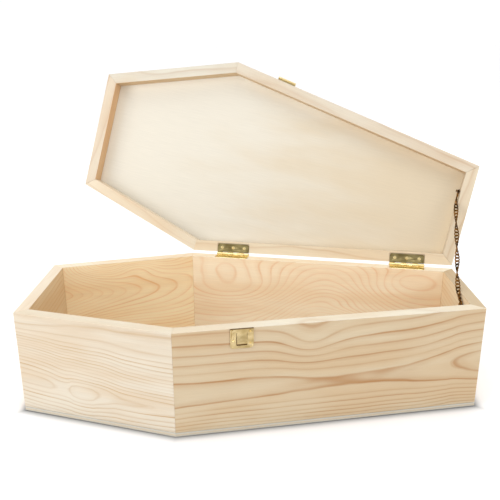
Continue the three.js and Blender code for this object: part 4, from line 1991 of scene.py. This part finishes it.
@dataclass
class StayChain:
    """Curb chain between the foot board and the lid, held by two round-head screws."""

    shape: CoffinShape
    from_front_corner: float = 21
    below_rim: float = 9
    above_lid_rim: float = 9
    from_wall: float = 1.7
    over_rim: float = 1
    sag: float = 2
    turn: float = 720
    flat_share: float = 0.06
    wire: float = 1.35
    link_width: float = 5.4
    pitch: float = 4.2
    link_twist: float = 70
    link_steps: int = 16
    wire_steps: int = 8
    screw_head_radius: float = 1.7
    screw_head_height: float = 1.1
    screw_shank_radius: float = 0.8
    screw_length: float = 7
    screw_point: float = 0.2
    screw_facets: int = 24
    screw_rings: int = 14
    screw_slot_width: float = 0.56
    screw_slot_depth: float = 0.6
    screw_turn: float = 0.6
    screw_ease: float = 0.06
    screw_play: float = 0.2

    def anchor(self, height: float, on_lid: bool) -> Matrix:
        """Frame of an anchor screw: z points from the wood into the coffin.

        Args:
            height: Height of the screw with the lid shut.
            on_lid: Whether it moves with the lid.

        Returns:
            Its frame.
        """
        foot = self.shape.length / 2 - self.shape.board_thickness
        corner = Vector((foot, self.inner_corner_y() + self.from_front_corner, height))
        turn = Matrix(((0, 0, -1), (1, 0, 0), (0, -1, 0))).to_4x4()
        place = Matrix.Translation(corner) @ turn
        return self.shape.lid_turn() @ place if on_lid else place

    def inner_corner_y(self) -> float:
        """Place across the coffin of the inner corner between foot and front.

        Returns:
            Its y, in millimetres.
        """
        start, end = self.shape.ends(Side.FRONT)
        along = (end - start).normalized()
        inward = UP.cross(along) * -1
        point = start + inward * self.shape.board_thickness
        share = (self.shape.length / 2 - self.shape.board_thickness - point.x) / along.x
        return point.y + along.y * share

    def anchors(self) -> tuple[Matrix, Matrix]:
        """Frames of the screw on the box and the screw on the open lid.

        Returns:
            Both frames.
        """
        low = self.shape.rim_height - self.below_rim
        high = self.shape.lid_bottom + self.above_lid_rim
        return self.anchor(low, False), self.anchor(high, True)

    def waypoints(self) -> list[Vector]:
        """Points that the chain passes: it clears both rims and sags a little between.

        Returns:
            Five points, from the box to the lid.
        """
        box_screw, lid_screw = self.anchors()
        seat = Vector((0, 0, self.from_wall))
        box_end, lid_end = box_screw @ seat, lid_screw @ seat
        lid = self.shape.lid_turn()
        shut, far = lid.inverted() @ lid_end, lid.inverted() @ box_end

        def cleared(start: Vector, end: Vector, rise: float) -> Vector:
            """The point that has risen by so much on the way to the end.

            Args:
                start: Where the way starts.
                end: Where it ends.
                rise: Height gained.

            Returns:
                The point.
            """
            share = rise / abs(end.z - start.z)
            way = (end - start) * share
            return start + Vector((0, way.y, way.z))

        over_box = cleared(box_end, lid_end, self.below_rim + self.over_rim)
        over_lid = lid @ cleared(shut, far, self.above_lid_rim + self.over_rim)
        middle = (over_box + over_lid) / 2 - UP * self.sag
        return [box_end, over_box, middle, over_lid, lid_end]

    def route(self, steps: int = 60) -> list[Vector]:
        """A smooth way through the waypoints.

        Args:
            steps: Points on each stretch.

        Returns:
            Closely spaced points.
        """
        spots = self.waypoints()
        spots = [spots[0] * 2 - spots[1], *spots, spots[-1] * 2 - spots[-2]]
        way: list[Vector] = []
        for a, b, c, d in zip(spots, spots[1:], spots[2:], spots[3:]):
            t1 = (b - a).length ** 0.5
            t2 = t1 + (c - b).length ** 0.5
            t3 = t2 + (d - c).length ** 0.5
            for step in range(steps):
                t = t1 + (t2 - t1) * step / steps
                ab = a.lerp(b, t / t1)
                bc = b.lerp(c, (t - t1) / (t2 - t1))
                cd = c.lerp(d, (t - t2) / (t3 - t2))
                abc = ab.lerp(bc, t / t2)
                bcd = bc.lerp(cd, (t - t1) / (t3 - t1))
                way.append(abc.lerp(bcd, (t - t1) / (t2 - t1)))
        return [*way, spots[-2]]

    def link(self, pitch: float) -> bpy.types.Object:
        """Models one twisted link along x, in millimetres.

        Args:
            pitch: Distance from one link to the next.

        Returns:
            The link.
        """
        ring = (self.link_width - self.wire) / 2
        bpy.ops.object.select_all(action="DESELECT")
        bpy.ops.mesh.primitive_torus_add(
            major_segments=self.link_steps,
            minor_segments=self.wire_steps,
            major_radius=ring,
            minor_radius=self.wire / 2,
        )
        link = applied(bpy.context.object)
        stretch = (pitch + self.wire) / 2 - ring
        for step in range(self.link_steps):
            shift = stretch * math.cos(math.tau * step / self.link_steps)
            with editing(
                link, "corner", lambda corner, step=step: corner.index // self.wire_steps == step
            ):
                bpy.ops.transform.translate(value=(shift, 0, 0))
        only(link)
        twist = link.modifiers.new("twist", "SIMPLE_DEFORM")
        twist.deform_method = "TWIST"
        twist.deform_axis = "X"
        twist.angle = math.radians(self.link_twist)
        bpy.ops.object.modifier_apply(modifier=twist.name)
        return smoothed(link, 60)

    def chain(self) -> bpy.types.Object:
        """Sets links in a row along the route and joins them.

        Returns:
            The chain, in millimetres.
        """
        way = self.route()
        reaches = [0.0]
        for a, b in zip(way, way[1:]):
            reaches.append(reaches[-1] + (b - a).length)
        length = reaches[-1]
        reach = self.screw_shank_radius + self.screw_play
        count = round((length + 2 * reach) / self.pitch)
        pitch = (length + 2 * reach) / count
        pattern = self.link(pitch)
        links = []
        for number in range(count):
            distance = min(max((number + 0.5) * pitch - reach, 0.0), length)
            index = max(1, next(i for i, r in enumerate(reaches) if r >= distance))
            a, b = way[index - 1], way[index]
            share = (distance - reaches[index - 1]) / (reaches[index] - reaches[index - 1])
            along = (b - a).normalized()
            part = distance / length
            twisted = (part - self.flat_share) / (1 - 2 * self.flat_share)
            angle = math.radians(self.turn) * min(1.0, max(0.0, twisted))
            across = Vector((1, 0, 0)).cross(along).normalized()
            across = Matrix.Rotation(angle, 3, along) @ across
            turn = Matrix((along, across, along.cross(across))).transposed().to_4x4()
            link = copied(pattern, "link")
            link.matrix_world = Matrix.Translation(a.lerp(b, share)) @ turn
            links.append(link)
        bpy.data.objects.remove(pattern)
        return joined("curb_chain", links)

    def screw(self) -> bpy.types.Object:
        """Models a round-head screw with a slot; its axis is z and the wood is at zero.

        Returns:
            The screw, in millimetres.
        """
        seat = 2 * self.from_wall
        head, shank = self.screw_head_radius, self.screw_shank_radius
        screw = dome(
            "chain_screw", head, self.screw_head_height, self.screw_facets, self.screw_rings
        )
        with editing(screw, "face", lambda face: face.normal.z < -ALIGNED):
            bpy.ops.mesh.inset(thickness=head - shank)
            shank_drawn(self.screw_length, shank, self.screw_point)
        reach, half = head * 2, self.screw_slot_width / 2
        bottom = self.screw_head_height - self.screw_slot_depth
        slot = block("slot", (-reach, -half, bottom), (reach, half, reach))
        carved(screw, Carve.REMOVE, slot)
        screw.location = (0, 0, seat)
        return smoothed(eased(applied(screw), self.screw_ease, angle=50), 40)

    def build(self, finish: BrassFinish) -> None:
        """Sets the chain and its two screws.

        Args:
            finish: Their aged brass.
        """
        metal = finish.material(Matrix.Identity(4))
        chain = placed(self.chain(), Matrix.Identity(4))
        chain.data.materials.append(metal)
        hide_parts("stay_chain")
        ends = [self.waypoints()[index] * METRES for index in (0, -1)]
        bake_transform(chain)
        log.info("curb_chain bends between box and lid, %d faces", len(chain.data.polygons))
        pattern = self.screw()
        for place, part, body in zip(self.anchors(), ("box", "lid"), (Body.BOX, Body.LID)):
            set_copy(
                pattern,
                f"chain_fixing_{part}",
                metal,
                place @ Matrix.Rotation(self.screw_turn, 4, "Z"),
                body,
                Slot.AGED_BRASS,
                f"chain_screw_{part}",
            )
        bpy.data.objects.remove(pattern)


# Studio


@dataclass
class Studio:
    """Plain white floor with a painted contact shadow, soft light and the camera at the
    photograph's angle.
    """

    floor_reach: float = 30.0
    # Reach in millimetres and greys of the painted contact shadow
    shade_reach: float = 16.0
    shade: Stops = (
        (0.0, 0.22), (0.05, 0.3), (0.15, 0.47), (0.27, 0.64),
        (0.4, 0.79), (0.52, 0.9), (0.7, 0.97), (1.0, 1.0),
    )
    grain_size: Point = (60, 60, 60)
    horizon: Point = (0.16, 0.4)
    horizon_strength: float = 1.03
    air_strength: float = 0.58
    lens: float = 46.595
    shift: tuple[float, float] = (0.0320, 0.0300)
    camera_place: Vector = field(default_factory=lambda: Vector((0.001168, -0.629223, 0.349667)))
    right: Vector = field(default_factory=lambda: Vector((0.99965492, 0.02461398, -0.00917616)))
    up: Vector = field(default_factory=lambda: Vector((0.00055079, 0.32960108, 0.94412013)))

    def floor(self) -> None:
        """Lays a wide pale floor with a painted contact shadow round the coffin's foot."""
        bpy.ops.object.select_all(action="DESELECT")
        bpy.ops.mesh.primitive_circle_add(vertices=64, radius=self.floor_reach, fill_type="NGON")
        floor = bpy.context.object
        floor.name = "studio_floor"
        nodes = Nodes("studio_paper")
        where = nodes.place(Matrix.Identity(4))
        grain = nodes.noise(where, self.grain_size, 2)
        paper = nodes.curve(grain, [(0.3, tone(243, 243, 244)), (0.7, tone(245, 245, 246))])
        # Painted contact shadow round the coffin's foot
        paper = nodes.mix(1.0, paper, self.contact_shade(nodes, where), "MULTIPLY")
        nodes.surface(Base_Color=paper, Roughness=0.85, Specular_IOR_Level=0.1)
        floor.data.materials.append(nodes.material)

    def contact_shade(
        self, nodes: Nodes, where: bpy.types.NodeSocket
    ) -> bpy.types.NodeSocket:
        """Painted contact shadow: soft grey on the floor close around the coffin's foot.

        Args:
            nodes: The floor's tree.
            where: Coordinates in millimetres.

        Returns:
            A grey that multiplies the floor's colour.
        """
        beyond = beyond_outline(nodes, where, Side)
        share = nodes.math("MULTIPLY", beyond, 1 / self.shade_reach)
        return nodes.curve(share, self.shade, ease=False)

    def lamp(self, name: str, kind: str, power: float, way: Vector) -> bpy.types.Object:
        """Adds a lamp that shines one way.

        Args:
            name: Name of the lamp.
            kind: "AREA" or "SUN".
            power: Its power in watts, or a sun's strength.
            way: Direction in which it shines.

        Returns:
            The lamp.
        """
        data = bpy.data.lights.new(name, kind)
        data.energy = power
        lamp = bpy.data.objects.new(name, data)
        bpy.context.scene.collection.objects.link(lamp)
        lamp.rotation_euler = way.to_track_quat("-Z", "Y").to_euler()
        return lamp

    def light(self, name: str, place: Point, power: float, size: float, target: Point) -> None:
        """Adds a soft square lamp.

        Args:
            name: Name of the lamp.
            place: Where it hangs, in metres.
            power: Its power in watts.
            size: Its width in metres.
            target: What it points at.
        """
        lamp = self.lamp(name, "AREA", power, Vector(target) - Vector(place))
        lamp.data.size = size
        lamp.location = place

    def sun(self, name: str, towards: Point, strength: float, spread: float) -> None:
        """Adds even light from one side of the room.

        Args:
            name: Name of the lamp.
            towards: Direction in which it shines.
            strength: Its strength.
            spread: How wide its source looks, in degrees.
        """
        lamp = self.lamp(name, "SUN", strength, Vector(towards))
        lamp.data.angle = math.radians(spread)

    def sky(self) -> None:
        """Fills the room with even light, white at the height of the camera's horizon."""
        world = bpy.data.worlds.new("studio_air")
        world.use_nodes = True
        tree = world.node_tree
        way = tree.nodes.new("ShaderNodeTexCoord").outputs["Generated"]
        height = tree.nodes.new("ShaderNodeSeparateXYZ")
        tree.links.new(way, height.inputs[0])
        level = tree.nodes.new("ShaderNodeMapRange")
        level.inputs["From Min"].default_value = self.horizon[0]
        level.inputs["From Max"].default_value = self.horizon[1]
        level.inputs["To Min"].default_value = self.horizon_strength
        level.inputs["To Max"].default_value = self.air_strength
        tree.links.new(height.outputs["Z"], level.inputs["Value"])
        backdrop = tree.nodes["Background"].inputs
        backdrop["Color"].default_value = (1, 1, 1, 1)
        tree.links.new(level.outputs["Result"], backdrop["Strength"])
        bpy.context.scene.world = world

    def camera(self) -> None:
        """Sets the camera as it stood for the photograph."""
        data = bpy.data.cameras.new("photo_camera")
        data.lens = self.lens
        data.sensor_width = 36
        data.sensor_fit = "HORIZONTAL"
        data.shift_x, data.shift_y = self.shift
        data.clip_start = 0.01
        camera = bpy.data.objects.new("photo_camera", data)
        bpy.context.scene.collection.objects.link(camera)
        turn = Matrix((self.right, self.up, self.right.cross(self.up))).transposed()
        camera.matrix_world = Matrix.Translation(self.camera_place) @ turn.to_4x4()
        bpy.context.scene.camera = camera

    def build(self) -> None:
        """Sets up the whole studio."""
        bpy.context.scene.view_settings.view_transform = "Standard"
        self.camera()
        self.floor()
        self.sky()
        self.sun("ceiling_light", (0.15, 0.1, -1), 1.68, 70)
        self.light("key_lamp", (-1.6, -0.8, 0.5), 12, 0.9, (0, 0, 0.12))
        self.light("fill_lamp", (1.3, -1.1, 1.3), 8, 0.8, (-0.1, 0.05, 0.08))
        self.light("back_lamp", (0.2, 1.9, 0.9), 6, 1.2, (0, 0.1, 0.15))


# Everything together


def main() -> None:
    """Builds the studio and then every part of the coffin."""
    logging.basicConfig(level=logging.INFO, format="%(name)s: %(message)s")
    Studio().build()
    boards = Boards(SHAPE)
    boards.build()
    Panels(SHAPE).build(boards)
    polished = BrassFinish("brass_polished")
    # The hinges' brass in a darker and a brighter copy: painted shade on the lid's leaf, painted
    # light on the box's leaf, the knuckles, pins and screws and the catch's brads
    painted_shaded = BrassFinish(
        "brass_painted_shaded", bright=tone(158, 144, 100), dull=tone(120, 107, 70), roughness=0.42
    )
    painted_lit = BrassFinish(
        "brass_painted_lit", bright=tone(250, 229, 168), dull=tone(224, 192, 122), roughness=0.26
    )
    catch_brass = BrassFinish(
        "brass_catch",
        bright=tone(213, 191, 143),
        dull=tone(184, 160, 110),
        # Painted shade along the plate's upper edge and on its slot's ground
        painted_shade=tone(84, 56, 30),
    )
    aged = BrassFinish(
        "brass_aged", bright=tone(136, 94, 42), dull=tone(34, 23, 11), roughness=0.26, streak=3.0
    )
    inset = SHAPE.hinge_from_corner
    hinge_spots = {"right": inset, "left": SHAPE.span(Side.BACK) - inset}
    hinges = [ButtHinge(SHAPE, hand, along) for hand, along in hinge_spots.items()]
    leaf, screw = hinges[0].leaf(), HingeScrew().build("screw")
    for hinge in hinges:
        hinge.build(leaf, screw, painted_shaded, painted_lit)
    brad = Brad().build("brad")
    CatchPlate(SHAPE).build(brad, catch_brass, painted_lit)
    Hasp(SHAPE).build(brad, polished)
    for pattern in (leaf, screw, brad):
        bpy.data.objects.remove(pattern)
    StayChain(SHAPE).build(aged)


if __name__ == "__main__":
    main()
